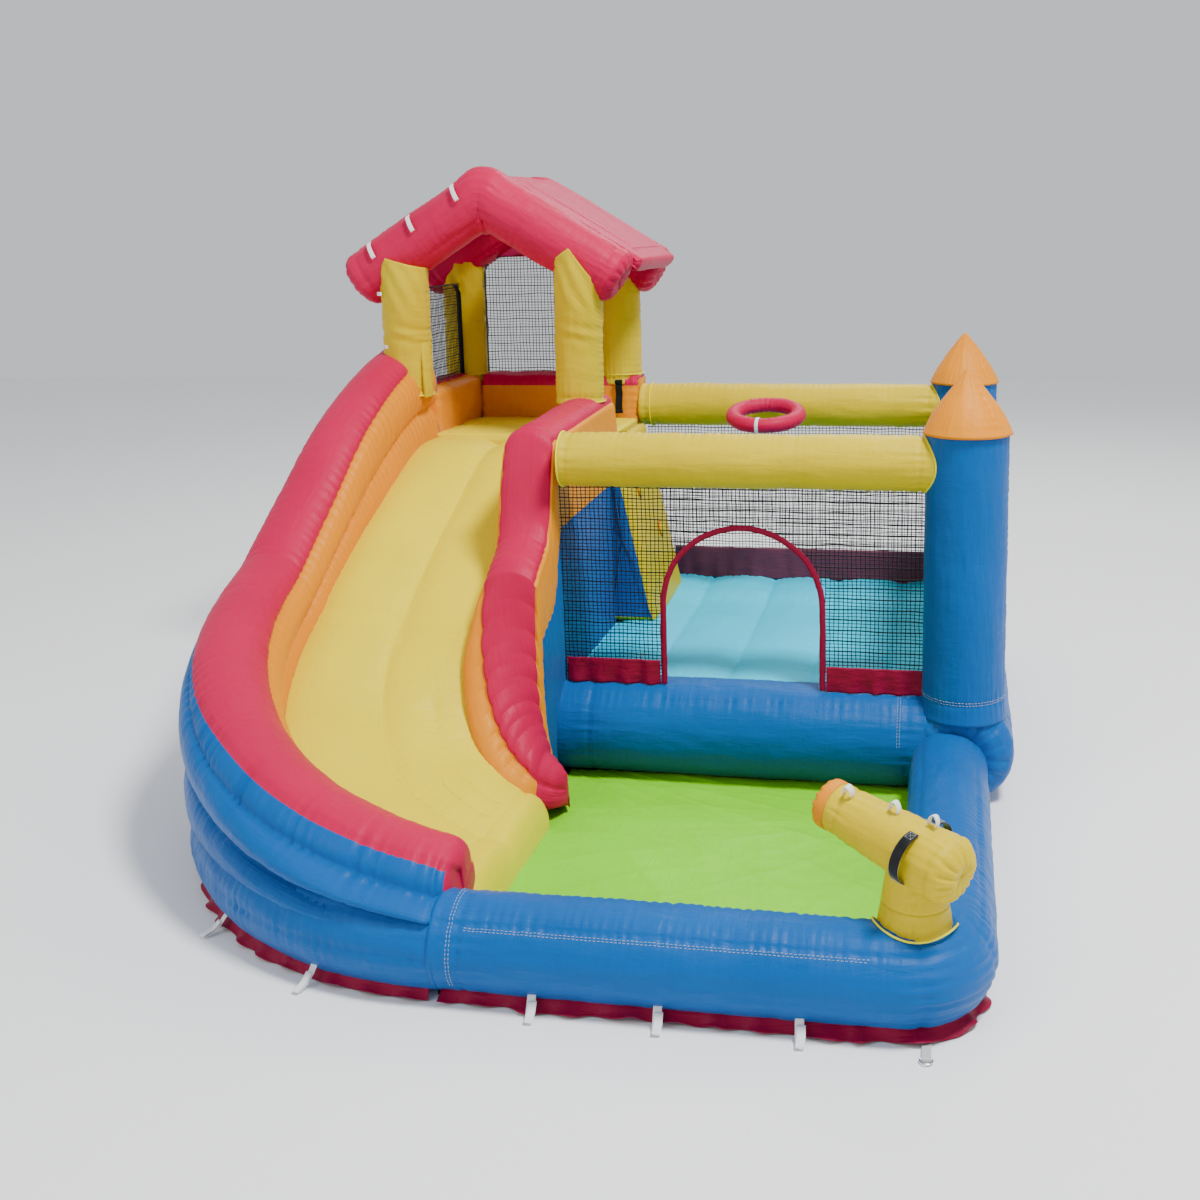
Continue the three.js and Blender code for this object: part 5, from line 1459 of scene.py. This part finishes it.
# ---------- small cloth parts: tower gusset and piping ----------
gusset_path = [(-2.352, 0.846, 1.640), (-2.346, 0.822, 1.54), (-2.342, 0.818, 1.45), (-2.344, 0.826, 1.375)]
settle(strip("post_gusset", place(gusset_path), 0.050, 0.016, Y_AXIS + 0.4 * X_AXIS, YELLOW, wave=0.004,
             seed=481),
       "yellow_fabric")
for name, x, y, z in (("front_left", POST_X[0], POST_FRONT, 1.383),
                      ("front_right", POST_X[1], POST_FRONT, 1.356),
                      ("back_left", POST_X[0], POST_BACK, 1.398),
                      ("back_right", POST_X[1], POST_BACK, 1.398)):
    ring = place(np.column_stack([x + (POST_R + 0.001) * np.cos(edge), y + (POST_R + 0.001) * np.sin(edge),
                                  z + 0 * edge]))
    settle(cord_ring(f"post_piping_{name}", ring, 0.0028, PIPING), "yellow_fabric")
for side, y in (("front", 0.0), ("back", ROOM_BACK)):
    x = -1.497
    ring = place(np.column_stack([x + 0 * edge, y + (BEAM_R + 0.0005) * np.cos(edge),
                                  BEAM_Z + (BEAM_R + 0.0005) * np.sin(edge)]))
    settle(cord_ring(f"beam_end_piping_{side}", ring, 0.0032, PIPING), "yellow_fabric")

# ---------- CAD nodes that stay, with cloth and metal materials ----------
GROUND_CLOTH = fabric("ground_cloth", (52, 58, 66), uv=False, wrinkle=1.2, rough=0.6)
INNER_CLOTH = fabric("inner_cloth", (225, 225, 220), uv=False)
BODY_CLOTH = fabric("slide_body_cloth", (12, 118, 214), uv=False)
STRAP_CLOTH = fabric("strap_cloth", (232, 232, 230), uv=False, wrinkle=0.2)
STEEL = bpy.data.materials.new("ring_steel")
STEEL.use_nodes = True
steel_nodes, steel_links = STEEL.node_tree.nodes, STEEL.node_tree.links
steel_shader = steel_nodes["Principled BSDF"]
steel_shader.inputs["Metallic"].default_value = 1.0
steel_shader.inputs["Base Color"].default_value = (0.72, 0.73, 0.75, 1)
scratch = steel_nodes.new("ShaderNodeTexNoise")
scratch.inputs["Scale"].default_value = 900
worn = steel_nodes.new("ShaderNodeMapRange")
worn.inputs["To Min"].default_value = 0.18
worn.inputs["To Max"].default_value = 0.34
steel_links.new(scratch.outputs[0], worn.inputs["Value"])
steel_links.new(worn.outputs[0], steel_shader.inputs["Roughness"])
KEPT = {"ground_sheet": GROUND_CLOTH, "slide_body": BODY_CLOTH, "anchor_strap": STRAP_CLOTH,
        "anchor_d_ring": STEEL}
KEPT.update({f"floor_baffle_{k}": INNER_CLOTH for k in (1, 2, 3, 4)})
for name, material in KEPT.items():
    for held in bpy.data.objects[name].material_slots:
        held.material = material

# ---------- rows of stitching ----------
seam_turn = 2 * math.pi * 0.62
seam_out = np.array([0.0, math.sin(seam_turn), -math.cos(seam_turn)])
rows = []
for off in (0.012, 0.020):
    line = [np.array([x, POOL_Y, POOL_Z]) + seam_out * POOL_R + np.array([0, -off * 0.7, -off * 0.7])
            for x in np.linspace(-1.34, -0.24, 30)]
    rows.append((place(line), seam_out))
for x in (-1.385, -1.376):
    ring = [np.array([x, POOL_Y - POOL_R * math.sin(b), POOL_Z + POOL_R * math.cos(b)])
            for b in np.linspace(-0.3, 2.2, 24)]
    rows.append((place(ring), UP))
stitches("pool_front_stitches", rows, STITCH, long=0.007, gap=0.005, wide=0.0015, lift=0.0012,
         onto=pool_front)
column_rows = []
for z in (0.386, 0.396):
    ring = [np.array([(COLUMN_R + 0.004) * math.cos(b), (COLUMN_R + 0.004) * math.sin(b), z])
            for b in np.linspace(-3.1, 0.6, 50)]
    column_rows.append((place(ring), UP))
stitches("column_front_stitches", column_rows, STITCH, long=0.007, gap=0.005, wide=0.0015,
         onto=bpy.data.objects["column_front_skin"])
patch_rows = []
for x in (-0.235, -0.226):
    ring = [np.array([x, 0.048 - BASE_R * math.sin(b), BASE_Z + BASE_R * math.cos(b)])
            for b in np.linspace(0.0, 1.5, 24)]
    patch_rows.append((place(ring), UP))
stitches("base_front_stitches", patch_rows, STITCH, long=0.007, gap=0.005, wide=0.0015,
         onto=bpy.data.objects["base_front_skin"])
